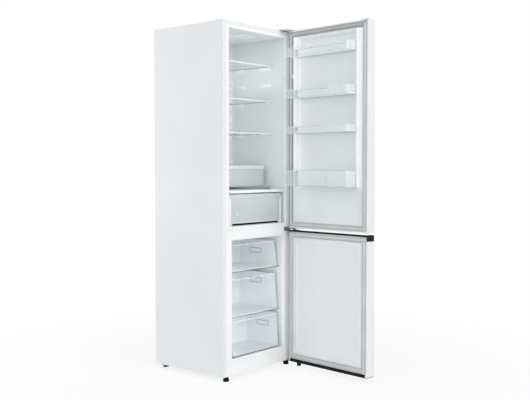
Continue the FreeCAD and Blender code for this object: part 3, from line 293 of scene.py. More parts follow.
def see_through(name, tint, alpha, rough):
    """Clear plastic or glass: a pale film with a gloss, through which things show."""
    finish, nodes, links, shader, where = new_finish(name)
    drift = noise(nodes, links, where, 7)
    tint = colour(*tint)
    pale = tuple(min(1, channel * 1.06) for channel in tint[:3]) + (1,)
    links.new(shades(nodes, links, drift, (0.3, tint), (0.7, pale)), shader.inputs["Base Color"])
    links.new(between(nodes, links, drift, rough, rough + 0.06), shader.inputs["Roughness"])
    raised(nodes, links, shader, noise(nodes, links, where, 60), 0.00003)
    shader.inputs["Alpha"].default_value = alpha
    return finish


def metal(name, dark, light, rough, spangle, stretch=(1, 1, 1)):
    finish, nodes, links, shader, where = new_finish(name)
    marks = noise(nodes, links, where, spangle, 4, stretch)
    tones = shades(nodes, links, marks, (0.35, colour(*dark)), (0.65, colour(*light)))
    links.new(tones, shader.inputs["Base Color"])
    links.new(between(nodes, links, marks, rough - 0.08, rough + 0.08), shader.inputs["Roughness"])
    raised(nodes, links, shader, marks, 0.00003)
    shader.inputs["Metallic"].default_value = 1
    return finish


def foam_finish():
    """Rigid foam: pale yellow, with small closed cells."""
    finish, nodes, links, shader, where = new_finish("rigid_foam")
    cells = nodes.new("ShaderNodeTexVoronoi")
    cells.inputs["Scale"].default_value = 420
    links.new(where, cells.inputs["Vector"])
    depth = cells.outputs["Distance"]
    tones = shades(nodes, links, depth, (0.1, colour(232, 214, 160)), (0.8, colour(206, 184, 124)))
    links.new(tones, shader.inputs["Base Color"])
    raised(nodes, links, shader, depth, 0.0006)
    shader.inputs["Roughness"].default_value = 0.85
    return finish


def tub_with_painted_shade(name, inside):
    """Liner plastic: white at the mouth, with painted shade just behind it that makes the inside cooler
    and greyer.
    """
    mouth_end = FRONT + 0.002
    finish, nodes, links, shader, where = new_finish(name)
    # Painted shade: within 12 mm of the mouth the colour turns from white to the shaded inside colour.
    reach = on_the_way(nodes, links, where, "Y", mouth_end, mouth_end + 0.012)
    base = shades(nodes, links, reach, (0, colour(244, 245, 245)), (1, colour(*inside)))
    drift = noise(nodes, links, where, 2.5)
    tone = nodes.new("ShaderNodeMix")
    tone.data_type = "RGBA"
    tone.blend_type = "MULTIPLY"
    tone.inputs["Factor"].default_value = 1
    links.new(base, tone.inputs["A"])
    veil = shades(nodes, links, drift, (0.3, (0.97, 0.98, 0.98, 1)), (0.7, (1, 1, 1, 1)))
    links.new(veil, tone.inputs["B"])
    links.new(tone.outputs["Result"], shader.inputs["Base Color"])
    fine = noise(nodes, links, where, 700, 3)
    links.new(between(nodes, links, fine, 0.3, 0.42), shader.inputs["Roughness"])
    raised(nodes, links, shader, fine, 0.00005)
    return finish


def smoked_and_reflection_finish():
    """The smoked strip in front of the crisper, with a painted reflection that fades it from nearly
    black on the left to grey on the right.
    """
    finish, nodes, links, shader, where = new_finish("smoke_with_painted_reflection")
    half = STRIP_HALF * MM
    tones = shades(
        nodes, links, on_the_way(nodes, links, where, "X", MIDDLE - half, MIDDLE + half),
        (0, colour(38, 44, 46)), (0.35, colour(72, 82, 84)), (1, colour(160, 174, 176)),
    )
    links.new(tones, shader.inputs["Base Color"])
    raised(nodes, links, shader, noise(nodes, links, where, 300), 0.00003)
    shader.inputs["Roughness"].default_value = 0.2
    return finish


FINISH = {
    "painted_steel": moulded("white_paint", (227, 230, 232), (232, 234, 236), 0.38, 2, 520, 0.00006),
    "white_plastic": moulded("white_plastic", (240, 241, 242), (245, 246, 247), 0.42),
    "liner_plastic": moulded("pale_plastic", (230, 235, 237), (234, 239, 240), 0.36, 2.5, 700),
    "foam": foam_finish(),
    "clear_plastic": see_through("clear_plastic", (240, 247, 250), 0.025, 0.08),
    "glass": see_through("shelf_glass", (226, 240, 238), 0.06, 0.03),
    "black_plastic": moulded("black_plastic", (22, 22, 23), (30, 30, 31), 0.5, 12, 1200, 0.0001, 0.12),
    "dark_trim": smoked_and_reflection_finish(),
    "gasket": moulded("gasket_grey", (204, 206, 207), (212, 214, 215), 0.62, 8, 1500, 0.00008, 0.25),
    "galvanised": metal("galvanised", (150, 154, 158), (186, 190, 193), 0.42, 60),
    "black_steel": moulded("black_paint", (28, 28, 30), (38, 38, 40), 0.4, 9, 600, 0.0001, 0.2),
    "zinc_steel": metal("zinc_plate", (170, 172, 170), (206, 207, 204), 0.32, 220),
    "aluminium": metal("aluminium", (186, 188, 190), (214, 216, 218), 0.35, 40, (1, 1, 12)),
    "copper_pipe": metal("copper_pipe", (150, 92, 66), (196, 128, 98), 0.35, 30),
    "lamp_plastic": moulded("lamp_plastic", (220, 226, 226), (226, 231, 231), 0.5, 20, 260, 0.0003),
}
# The inside colours of both tubs are painted shade on white liner plastic.
fridge_inside = tub_with_painted_shade("fridge_tub_painted_shade", (223, 228, 229))
freezer_inside = tub_with_painted_shade("freezer_tub_painted_shade", (226, 231, 232))
frosted_rim = see_through("frosted_rim", (238, 243, 245), 0.6, 0.2)
hinge_grey = moulded("hinge_grey", (104, 110, 114), (122, 128, 132), 0.45, 30, 800, 0.00008, 0.3)
milky = moulded("milky_plastic", (226, 232, 234), (232, 237, 239), 0.3, 4, 500)
frosted_front = see_through("frosted_front", (209, 216, 217), 0.8, 0.4)
front_frame = see_through("front_frame", (240, 244, 245), 0.85, 0.25)
bin_film = see_through("bin_film", (236, 241, 243), 0.14, 0.12)
thin_front = see_through("thin_front", (212, 220, 222), 0.5, 0.15)
# A lighter copy of the door liner plastic: painted light for the lower door's inner face.
low_door_lit_white = moulded("low_door_lit_plastic", (234, 237, 238), (238, 240, 241), 0.36, 2.5, 700)
shelf_line = see_through("shelf_line", (240, 245, 246), 0.68, 0.2)
bin_haze = see_through("bin_haze", (236, 241, 243), 0.45, 0.12)
support_white = moulded("support_white", (234, 239, 240), (239, 243, 244), 0.4, 3, 700)
# Painted shade on the seals: in the hinge-side gap, along the top strip and in the grooves.
hinge_gap_painted_shade = seal_shade("hinge_gap_painted_shade", (154, 160, 163), (163, 168, 171))
rim_line = see_through("rim_line", (240, 245, 247), 0.28, 0.2)
frosted_end = see_through("frosted_end", (240, 244, 246), 0.42, 0.2)
top_seal_painted_shade = seal_shade("top_seal_painted_shade", (178, 181, 183), (185, 188, 190))
groove_painted_shade = seal_shade("groove_painted_shade", (192, 195, 197), (199, 202, 204))
glass_edge = see_through("glass_edge", (140, 160, 157), 0.55, 0.1)
# Dark glass edges, also used as painted shadow at the foot of the lowest freezer drawer.
painted_shadow_and_dark_glass = see_through("painted_shadow_and_dark_glass", (96, 112, 110), 0.85, 0.1)
clear_end = see_through("clear_end", (214, 232, 240), 0.2, 0.15)
# A whiter copy of the door liner plastic, as painted light on the dykes.
dyke_lit_white = moulded("dyke_painted_light", (246, 247, 248), (250, 250, 251), 0.3, 3, 700)
# Painted shade for the edges and collars of the freezer drawers' grip slots.
slot_painted_shade = moulded("slot_painted_shade", (118, 128, 132), (128, 138, 142), 0.4, 9, 700)
rubber = moulded("black_rubber", (18, 18, 19), (26, 26, 27), 0.75, 30, 900, 0.0002, 0.1)


# ------ ways of working on a piece

def only(piece):
    bpy.ops.object.select_all(action="DESELECT")
    piece.select_set(True)
    bpy.context.view_layer.objects.active = piece


def named(name):
    piece = bpy.context.object
    piece.name = name
    piece.data.name = name
    return piece


def block(name, low, high):
    """A rectangular block between two corners."""
    middle = [(a + b) / 2 * MM for a, b in zip(low, high)]
    bpy.ops.mesh.primitive_cube_add(size=1, location=middle)
    bpy.context.object.scale = [(b - a) * MM for a, b in zip(low, high)]
    bpy.ops.object.transform_apply(location=True, rotation=True, scale=True)
    return named(name)


def round_bar(name, axis, start, radius, length, sides=32):
    """A round bar that starts at a point and runs along +X, +Y or +Z."""
    way = {"X": Vector((1, 0, 0)), "Y": Vector((0, 1, 0)), "Z": Vector((0, 0, 1))}[axis]
    turn = {"X": (0, math.pi / 2, 0), "Y": (math.pi / 2, 0, 0), "Z": (0, 0, 0)}[axis]
    middle = (Vector(start) + way * (length / 2)) * MM
    bpy.ops.mesh.primitive_cylinder_add(
        vertices=sides, radius=radius * MM, depth=length * MM, location=middle, rotation=turn,
    )
    bpy.ops.object.transform_apply(location=True, rotation=True, scale=True)
    return named(name)


def middle_and_way(part):
    if isinstance(part, bmesh.types.BMFace):
        return part.calc_center_median() / MM, part.normal
    if isinstance(part, bmesh.types.BMEdge):
        a, b = (corner.co for corner in part.verts)
        return (a + b) / 2 / MM, (b - a).normalized()
    return part.co / MM, part.normal


def pick(piece, kind, test):
    """Opens a piece for editing, with those faces, edges or corners selected that pass a test of
    their middle, in millimetres, and of the way they face or run."""
    only(piece)
    bpy.ops.object.mode_set(mode="EDIT")
    bpy.ops.mesh.select_mode(type=kind)
    bpy.ops.mesh.select_all(action="DESELECT")
    net = bmesh.from_edit_mesh(piece.data)
    parts = {"FACE": net.faces, "EDGE": net.edges, "VERT": net.verts}[kind]
    chosen = [part for part in parts if test(*middle_and_way(part))]
    if not chosen:
        raise ValueError(f"{piece.name} has nothing there to work on")
    for part in chosen:
        part.select_set(True)
    bmesh.update_edit_mesh(piece.data)


def put_back():
    bpy.ops.object.mode_set(mode="OBJECT")


def pull(piece, move, test):
    """Draws faces out of a piece, or pushes them in."""
    pick(piece, "FACE", test)
    bpy.ops.mesh.extrude_region_move(TRANSFORM_OT_translate={"value": [step * MM for step in move]})
    put_back()


def inset(piece, width, depth, test, each=False):
    pick(piece, "FACE", test)
    bpy.ops.mesh.inset(thickness=width * MM, depth=depth * MM, use_individual=each)
    put_back()


def round_off(piece, radius, steps, test):
    pick(piece, "EDGE", test)
    bpy.ops.mesh.bevel(offset=radius * MM, segments=steps, affect="EDGES")
    put_back()


def score(piece, axis, *places):
    """Cuts lines round a piece at places along an axis, leaving it whole."""
    letter = "XYZ".index(axis)
    for place in places:
        pick(piece, "FACE", lambda p, n: True)
        point, way = [0, 0, 0], [0, 0, 0]
        point[letter], way[letter] = place * MM, 1
        bpy.ops.mesh.bisect(plane_co=point, plane_no=way)
        put_back()


def shift(piece, move, test):
    pick(piece, "VERT", test)
    bpy.ops.transform.translate(value=[step * MM for step in move])
    put_back()


def spread_edges(piece, factors, centre, test):
    """Draws a new strip out of open edges by scaling it away from a centre."""
    pick(piece, "EDGE", test)
    bpy.ops.mesh.extrude_edges_move(TRANSFORM_OT_translate={"value": (0, 0, 0)})
    bpy.ops.transform.resize(value=factors, center_override=[step * MM for step in centre])
    put_back()


def drop(piece, test):
    pick(piece, "FACE", test)
    bpy.ops.mesh.delete(type="FACE")
    put_back()


def turn_over(piece):
    pick(piece, "FACE", lambda p, n: True)
    bpy.ops.mesh.flip_normals()
    put_back()


def set_right(piece):
    """Joins doubled corners and turns every face outwards."""
    pick(piece, "VERT", lambda p, n: True)
    bpy.ops.mesh.remove_doubles(threshold=0.01 * MM)
    bpy.ops.mesh.normals_make_consistent(inside=False)
    put_back()


def apply(piece, kind, **settings):
    only(piece)
    modifier = piece.modifiers.new(kind.lower(), kind)
    for name, value in settings.items():
        setattr(modifier, name, value)
    bpy.ops.object.modifier_apply(modifier=modifier.name)


def thicken(piece, wall):
    """Gives a skin its wall, behind the side that shows."""
    apply(piece, "SOLIDIFY", thickness=wall * MM, offset=-1, use_even_offset=True)


def soften(piece, width, steps=2):
    apply(piece, "BEVEL", width=width * MM, segments=steps, limit_method="ANGLE",
          angle_limit=math.radians(32), use_clamp_overlap=True)


def smooth(piece):
    only(piece)
    bpy.ops.object.shade_smooth_by_angle(angle=math.radians(35))


def join(first, *others):
    only(first)
    for other in others:
        other.select_set(True)
    bpy.ops.object.join()
    return first


def punch(piece, *tools):
    """Cuts the shapes of the tools out of a piece."""
    for tool in tools:
        apply(piece, "BOOLEAN", object=tool, operation="DIFFERENCE", solver="EXACT", use_self=True)
        bpy.data.objects.remove(tool)
    return piece


def again(piece, name, move=(0, 0, 0)):
    """A copy with a mesh of its own, moved in millimetres."""
    twin = piece.copy()
    twin.data = piece.data.copy()
    twin.name = twin.data.name = name
    bpy.context.scene.collection.objects.link(twin)
    twin.data.transform(Matrix.Translation(Vector(move) * MM))
    return twin


def mirrored(piece, name):
    twin = again(piece, name)
    twin.data.transform(Matrix.Scale(-1, 4, (1, 0, 0)))
    turn_over(twin)
    return twin


def coat(piece, *finishes):
    piece.data.materials.clear()
    for finish in finishes:
        piece.data.materials.append(finish)


def paint(piece, finish, test):
    """Puts another finish on the faces that pass a test."""
    piece.data.materials.append(finish)
    number = len(piece.data.materials) - 1
    for face in piece.data.polygons:
        if test(face.center / MM, face.normal):
            face.material_index = number


def place_of(node):
    """The transform that sets a piece of a node's body down, with its door open."""
    stand = Matrix.Translation((MIDDLE, FRONT, 0))
    if BODY[node].startswith(("fridge_door", "freezer_door", "door_bin")):
        pin = HINGE * MM
        swing = Matrix.Rotation(DOOR_ANGLE, 4, "Z")
        stand = stand @ Matrix.Translation(pin) @ swing @ Matrix.Translation(-pin)
    return stand


def settle(piece, *nodes):
    """Sets a piece down in the model, on the body and with the slot of the nodes it stands for."""
    if not piece.data.materials:
        coat(piece, FINISH[SLOT[nodes[0]]])
    smooth(piece)
    piece.data.transform(place_of(nodes[0]))
    return hand_over(piece, *nodes)


def hand_over(piece, *nodes):
    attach(piece, BODY[nodes[0]])
    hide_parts(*nodes)
    return piece


def from_frame(node, name, width, steps=2):
    """A copy of a CAD node with its edges softened, standing where the node stands."""
    piece = bpy.data.objects.new(name, frame["nodes"][node].data.copy())
    piece.data.name = name
    bpy.context.scene.collection.objects.link(piece)
    pick(piece, "VERT", lambda p, n: True)
    bpy.ops.mesh.remove_doubles(threshold=0.01 * MM)
    bpy.ops.mesh.dissolve_limited(angle_limit=math.radians(1))
    put_back()
    soften(piece, width, steps)
    coat(piece, FINISH[SLOT[node]])
    smooth(piece)
    return hand_over(piece, node)


# ------ the cabinet's steel and rails

def cabinet_wrap():
    """The steel sides and top, with a lip round the front."""
    low, lip = 26, 22
    wrap = block("cabinet_wrap", (-HALF, 0, low), (HALF, DEPTH, TOP))
    inset(wrap, lip, 0, lambda p, n: n.y < -ALONG)
    drop(wrap, lambda p, n: n.y > ALONG or n.z < -ALONG)
    drop(wrap, lambda p, n: n.y < -ALONG and abs(p.x) < 10 and p.z < 1900)
    shift(wrap, (0, 0, -lip), lambda p, n: abs(p.z - low - lip) < 1 and abs(p.x) < HALF - lip + 0.5)
    round_off(wrap, 2.2, 3, lambda p, n: (
        (abs(p.x) > HALF - 0.5 and abs(p.y) < 1 and abs(n.z) > ALONG)
        or (p.z > TOP - 1 and (abs(p.y) < 1 or abs(p.x) > HALF - 0.5))
    ))
    thicken(wrap, 0.8)
    settle(wrap, "cabinet_shell")


def rear_panel():
    panel = block("rear_panel", (-296.7, 551.2, 292), (296.7, DEPTH, 1999.2))
    score(panel, "Z", 700, 1130, 1560)
    inset(panel, 26, 0, lambda p, n: n.y > ALONG, each=True)
    inset(panel, 4, -0.45, lambda p, n: n.y > ALONG and abs(p.x) < 10 and any(
        abs(p.z - middle) < 60 for middle in (496, 915, 1345, 1780)), each=True)
    settle(panel, "back_panel")


def rail(name, low, high):
    """A bar across the front, with a fine line round its face."""
    middle = (low + high) / 2
    bar = block(name, (-JAMB_HALF, 0, low), (JAMB_HALF, 2, high))
    round_off(bar, 0.6, 2, lambda p, n: p.y < 0.1)
    inset(bar, 3.2, 0, lambda p, n: n.y < -ALONG and abs(p.x) < 1)
    inset(bar, 0.8, -0.25, lambda p, n: n.y < -ALONG and abs(p.x) < 1 and abs(p.z - middle) < 5)
    return bar


def mouth(skin, half, low, high, jamb_low, jamb_high):
    """Spreads the open front edge of a tub into its jamb, and rounds the way in."""
    grow = (jamb_high - jamb_low) / (high - low)
    centre = (jamb_low - low * grow) / (1 - grow)
    spread_edges(skin, (JAMB_HALF / half, 1, grow), (0, 0, centre), lambda p, n: p.y < 0.1)
    round_off(skin, 4, 3, lambda p, n: (
        p.y < 0.1 and abs(p.x) < half + 0.5 and low - 0.5 < p.z < high + 0.5
        and (abs(n.x) > 0.99 or abs(n.z) > 0.99 or abs(p.x) < half - 0.1)
    ))


def rib(name, half, start, end, top, reach, tall=21):
    """A shelf rib on the right wall: flat above, sloped below, with round ends."""
    bar = block(name, (half - reach, start, top - tall), (half + 0.8, end, top))
    if tall > 10:
        shift(bar, (reach - 1, 0, 0), lambda p, n: p.x < half - reach + 1 and p.z < top - tall + 1)
    radius = min(10, tall * 0.45)
    round_off(bar, radius, 4, lambda p, n: p.x < half and abs(n.y) < 0.1 and abs(n.z) > 0.3)
    soften(bar, 1.6, 3)
    return bar


# The top and front end of each shelf rib, and the foot and top of each stop in the rear corners.
RIBS = ((1797.7, 113), (1585.7, 113), (1391.7, 113), (1697, 113), (1198.7, 163))
STOPS = (
    (1803, 1818), (1778, 1793), (1707, 1722), (1674, 1690), (1592, 1626), (1543, 1582),
    (1476, 1518), (1430, 1465), (1403, 1420), (1370, 1387), (1210, 1230), (1178, 1195),
)


def fridge_tub():
    half, low, high, depth = FRIDGE
    reach, stop_front = 9, 426
    skin = block("fridge_tub", (-half, 0, low), (half, depth, high))
    drop(skin, lambda p, n: n.y < -ALONG)
    round_off(skin, 30, 6, lambda p, n: p.y > depth - 1 and p.z > low + 1)
    round_off(skin, 7, 3, lambda p, n: p.z < low + 0.1 and p.y > 0.1)
    mouth(skin, half, low, high, 854, JAMB_TOP)
    turn_over(skin)
    thicken(skin, 2)
    ribs = []
    for top, start in RIBS:
        ribs.append(rib("rib", half, start, 211, top, reach))
        ribs.append(rib("rib", half, 330, 405, top, reach))
    ribs.append(rib("rib", half, 26, 405, 1058, reach, 7))
    for bottom, crown in STOPS:
        stop = block("stop", (220, stop_front, bottom), (243, depth + 0.5, crown))
        round_off(stop, 3, 3, lambda p, n: p.y < stop_front + 0.1)
        ribs.append(stop)
    ribs += [mirrored(bar, "rib") for bar in list(ribs)]
    coat(skin, fridge_inside)
    for bar in ribs:
        coat(bar, support_white)
    join(skin, *ribs)
    settle(skin, "fridge_liner")


def freezer_tub():
    """The lower tub, with a step in its back over the machinery."""
    half, low, high, depth = FREEZER
    step_depth, step_top = 292, 338
    skin = block("freezer_tub", (-half, 0, low), (half, step_depth, high))
    score(skin, "Z", step_top)
    pull(skin, (0, depth - step_depth, 0), lambda p, n: n.y > ALONG and p.z > step_top)
    drop(skin, lambda p, n: n.y < -ALONG)
    round_off(skin, 10, 4, lambda p, n: abs(n.z) > ALONG and p.y > depth - 1)
    mouth(skin, half, low, high, 110, 793)
    turn_over(skin)
    thicken(skin, 2)
    ledges = [rib("ledge", half, 33, 288, 340, 12, 7), rib("ledge", half, 33, 346, 597, 12, 7)]
    ledges += [mirrored(bar, "ledge") for bar in list(ledges)]
    join(skin, *ledges)
    coat(skin, freezer_inside)
    settle(skin, "freezer_liner")


cabinet_wrap()
rear_panel()
settle(join(rail("front_bars", 793.3, 853.7), rail("plinth_bar", 26, 109.7)), "front_rails")
fridge_tub()
freezer_tub()
for node, name in (("insulation_foam", "cabinet_foam"), ("fridge_door_foam", "upper_door_foam"),
                   ("freezer_door_foam", "lower_door_foam")):
    from_frame(node, name, 0.8, 1)


# ------ shelves and drawers

def shelf_pane(name, half, start, end, high):
    pane = block(name, (-half, start, high - 4), (half, end, high))
    soften(pane, 0.8)
    coat(pane, FINISH["glass"])
    paint(pane, glass_edge, lambda p, n: abs(n.z) < 0.5)
    return pane


def shelf_nose(name, half, start, top):
    """A strip along a shelf's front, with two jaws that hold the glass."""
    nose = block(name, (-half, start, top - 8), (half, start + 3, top))
    score(nose, "Z", top - 5, top - 1)
    pull(nose, (0, 9, 0), lambda p, n: n.y > ALONG and (p.z > top - 1 or p.z < top - 5))
    round_off(nose, 0.9, 3, lambda p, n: (
        p.y < start + 0.1 and abs(n.x) > ALONG and abs(p.z - top + 4) > 3.9
    ))
    coat(nose, shelf_line)
    return nose


def open_box(name, low, high, corner, rim=0, lean=0):
    """A drawer: open above, with round corners, a front that may lean and a rolled rim."""
    case = block(name, low, high)
    drop(case, lambda p, n: n.z > ALONG)
    if lean:
        shift(case, (0, lean, 0), lambda p, n: p.y < low[1] + 1 and p.z > high[2] - 1)
    round_off(case, corner, 4, lambda p, n: abs(n.z) > 0.5)
    round_off(case, 3, 2, lambda p, n: p.z < low[2] + 0.1)
    if rim:
        front, rear = low[1] + lean, high[1]
        grow = (rear + rim - front + 1) / (rear - front)
        pick(case, "EDGE", lambda p, n: p.z > high[2] - 0.1)
        bpy.ops.mesh.extrude_edges_move(TRANSFORM_OT_translate={"value": (0, 0, 0)})
        bpy.ops.transform.resize(value=((high[0] + rim) / high[0], grow, 1),
                                 center_override=(0, (front + 1 / (grow - 1)) * MM, 0))
        bpy.ops.mesh.extrude_edges_move(TRANSFORM_OT_translate={"value": (0, 0, -3 * MM)})
        put_back()
    thicken(case, DRAWER_WALL)
    return case


def clear_box(case, low, top, front, lean, rim, face):
    """Milky walls behind a clear front, with a whiter rim."""
    coat(case, milky)
    paint(case, face, lambda p, n: p.z > low + 3 and p.y < front + lean * (p.z - low) / (top - low) + 4)
    paint(case, rim, lambda p, n: p.z > top - 4)


def shelves():
    half, rear, first, cover = 245, 418, 1803, 1204
    glass = shelf_pane("glass_pane", half, 102, rear, first - 1)
    nose = shelf_nose("glass_nose", half, 99, first)
    for number, top in ((1, first), (2, 1591), (3, 1397)):
        lower = (0, 0, top - first)
        settle(again(glass, f"glass_pane_{number}", lower), f"shelf_glass_{number}")
        settle(again(nose, f"glass_nose_{number}", lower), f"shelf_trim_{number}")
    bpy.data.objects.remove(glass)
    bpy.data.objects.remove(nose)
    settle(shelf_pane("cover_pane", half, 151, rear, cover - 1), "crisper_cover_glass")
    settle(shelf_nose("cover_nose", 229, 148, cover), "crisper_cover_trim")


def fresh_zone():
    coat(from_frame("fresh_zone_lid", "fresh_zone_shelf", 0.7), FINISH["liner_plastic"])
    strip = block("smoked_strip", (-STRIP_HALF, 112, 1066), (STRIP_HALF, 124, 1079))
    round_off(strip, 3, 4, lambda p, n: p.y < 112.1 and abs(n.x) > ALONG)
    round_off(strip, 0.8, 2, lambda p, n: abs(p.x) > STRIP_HALF - 0.1)
    settle(strip, "lower_shelf_trim")
    crisper()
    fresh_drawer()


def crisper():
    """The box under the glass cover, with a fine line set into its thin front."""
    half, low, top, front, lean = 225, 1079.3, 1191.3, 138, -3
    case = open_box("crisper", (-half, front, low), (half, 411, top), 16, 3, lean)
    inset(case, 9, 0, lambda p, n: n.y < -ALONG and p.y < front + 1)
    inset(case, 2, -0.9, lambda p, n: (
        n.y < -ALONG and p.y < front + 1 and abs(p.x) < 10 and low + 20 < p.z < top - 20
    ))
    clear_box(case, low, top, front, lean, frosted_rim, thin_front)
    paint(case, frosted_end, lambda p, n: p.z < low + 2.7)
    settle(case, "crisper_drawer")


def slot_block(name, front, rear):
    """A block with the outline of the long slot at the foot of the fresh drawer."""
    return block(name, (-206, front, 864.5), (203, rear, 877))


def fresh_drawer():
    """A drawer with a raised frame round its front, and a dark grip in the slot below."""
    half, low, top, front = 229, 862.3, 1034.3, 24
    window_half, window_low, window_top = 216, 881, 1019
    tray = open_box("fresh_tray", (-half, front, low), (half, 426, top), 7)
    inset(tray, 15, 0, lambda p, n: n.y < -ALONG and p.y < front + 1)
    inset(tray, 2.5, -1.1, lambda p, n: (
        n.y < -ALONG and p.y < front + 1 and abs(p.x) < 10 and 900 < p.z < 1000
    ))
    punch(tray, slot_block("slot_cutter", 20, 28))
    boss = round_bar("boss", "Y", (-158, 22.2, 924.3), 6, 3)
    round_off(boss, 1.2, 3, lambda p, n: p.y < 22.3)
    border = block("border", (-234.5, 19.5, 863), (234.5, 23.9, 1040))
    round_off(border, 0.8, 2, lambda p, n: p.y < 19.6)
    window = block("window", (-window_half, 10, window_low), (window_half, 30, window_top))
    punch(border, window, slot_block("slit", 10, 30))
    score(border, "Z", window_top + 0.5)
    coat(border, front_frame)
    paint(border, frosted_front, lambda p, n: p.z > window_top + 0.5)
    clear_box(tray, low, top, front, 0, frosted_rim, frosted_front)
    paint(tray, frosted_rim, lambda p, n: p.y < front + 1.5 and (
        abs(p.x) > window_half - 4 or p.z < window_low or p.z > window_top - 3))
    coat(boss, FINISH["white_plastic"])
    join(tray, boss, border)
    settle(tray, "fresh_drawer")

    grip = slot_block("slot_grip", front, 35)
    inset(grip, 1.6, 0, lambda p, n: n.y < -ALONG)
    inset(grip, 0.5, -9, lambda p, n: n.y < -ALONG and abs(p.x) < 20 and 867 < p.z < 875)
    settle(grip, "fresh_drawer_grip")


def freezer_drawer(number, low, high, front_low, front_high, rear, slot_front, slot_low, base):
    """A drawer with a leaning front, a collar round a grip slot on each side and two runners."""
    half, lean, slot_long, slot_tall, edge = 206, front_high - front_low, 90, 24, 3
    slot_rear, slot_top = slot_front + slot_long, slot_low + slot_tall
    case = open_box(f"freezer_box_{number}", (-half, front_low, low), (half, rear, high), 10, 3, lean)
    cutter = block("slot_cutter", (-230, slot_front, slot_low), (230, slot_rear, slot_top))
    round_off(cutter, 4, 3, lambda p, n: abs(n.x) > ALONG)
    collars = []
    for left, right in ((-207.6, -203.2), (203.2, 207.6)):
        collar = block("collar", (left, slot_front - edge, slot_low - edge),
                       (right, slot_rear + edge, slot_top + edge))
        round_off(collar, 6, 3, lambda p, n: abs(n.x) > ALONG)
        collars.append(punch(collar, again(cutter, "collar_cutter")))
    bpy.data.objects.remove(cutter)
    join(case, *collars)
    clear_box(case, low, high, front_low, lean, rim_line, FINISH["clear_plastic"])
    # Painted shadow: the foot of the lowest drawer's front is painted dark, for the shadow gap beneath
    # it.
    if number == 3:
        paint(case, painted_shadow_and_dark_glass, lambda p, n: p.y < front_low + 4 and p.z < low + 3.5)
    # Painted shade on the collars and inner edges of each grip slot.
    paint(case, slot_painted_shade, lambda p, n: (
        slot_front - 4 < p.y < slot_rear + 4 and slot_low - 4 < p.z < slot_top + 4
        and (abs(p.x) > 206.1 or abs(p.x) < 203.5 or abs(n.x) < 0.5) and abs(p.x) > 203
    ))
    for middle in (-179, 179):
        runner = block("runner", (middle - 3, front_low + 12, base + 0.3),
                       (middle + 3, rear - 12, low + 1))
        round_off(runner, 0.7, 2, lambda p, n: p.z < base + 1)
        coat(runner, FINISH["clear_plastic"])
        join(case, runner)
    settle(case, f"freezer_drawer_{number}")


def freezer_inside_pieces():
    low_shelf, high_shelf = 344, 601
    glass = join(*[block("freezer_pane", (-226.5, 27, top - 4), (226.5, 350, top))
                   for top in (low_shelf, high_shelf)])
    soften(glass, 0.7)
    coat(glass, FINISH["glass"])
    paint(glass, painted_shadow_and_dark_glass, lambda p, n: abs(n.z) < 0.5)
    settle(glass, "freezer_shelves")
    freezer_drawer(1, 606, 751, 20, 45, 331, 152, 675, high_shelf)
    freezer_drawer(2, 349, 553, 19, 42, 331, 152, 492, low_shelf)
    freezer_drawer(3, 121, 317, 12, 27, 274, 94, 235, FREEZER[1])
    from_frame("freezer_back_cover", "freezer_rear_wall", 0.4, 1)


shelves()
fresh_zone()
freezer_inside_pieces()


# ------ the doors

LINER_HALF = 286
LINER_BACK = -9.5
UPPER_LOW, UPPER_HIGH = 833.5, 1994.5
LOWER_HIGH = 783.5
# The foot and the height of each bin, from the top one down.
BINS = ((1834, 50), (1593, 52), (1388, 42), (1083, 91))


def round_corners(piece):
    """Rounds a door's upright edges, more outside than inside."""
    for width, steps, y in ((3.5, 4, DOOR_OUT), (2, 3, DOOR_IN)):
        round_off(piece, width, steps, lambda p, n: (
            abs(p.x) > HALF - 0.5 and abs(p.y - y) < 1 and abs(n.z) > ALONG
        ))


def door_skin(name, low, high, node):
    """A painted sheet round the front and both edges of a door, with a lip along each edge."""
    sheet = block(name, (-HALF, DOOR_OUT, low), (HALF, DOOR_IN, high))
    lip = HALF - 11
    score(sheet, "X", -lip, lip)
    drop(sheet, lambda p, n: abs(n.z) > ALONG or (n.y > ALONG and abs(p.x) < 10))
    round_corners(sheet)
    thicken(sheet, 0.8)
    settle(sheet, node)


def door_cap(name, low, high, face_z, boss_low):
    """An end cap whose corners follow the skin, recessed a little, with a bored boss for the pin."""
    cap = block(name, (-HALF, DOOR_OUT, low), (HALF, DOOR_IN, high))
    round_corners(cap)
    facing = 1 if face_z == high else -1
    inset(cap, 2.6, 0, lambda p, n: n.z * facing > ALONG)
    inset(cap, 1, -0.8, lambda p, n: n.z * facing > ALONG and abs(p.x) < 50 and abs(p.y + 39) < 10)
    soften(cap, 0.3, 1)
    boss = round_bar("boss", "Z", (HINGE.x, HINGE.y, boss_low), 10, 20)
    bore = round_bar("bore", "Z", (HINGE.x, HINGE.y, boss_low - 4), 5.4, 28)
    return punch(join(cap, boss), bore)


def caps():
    low, high = UPPER_LOW - 4, UPPER_HIGH + 4
    low_cap = door_cap("upper_door_ends", low, UPPER_LOW, low, low)
    high_cap = door_cap("top_end", UPPER_HIGH, high, high, high - 20)
    settle(join(low_cap, high_cap), "fridge_door_caps")


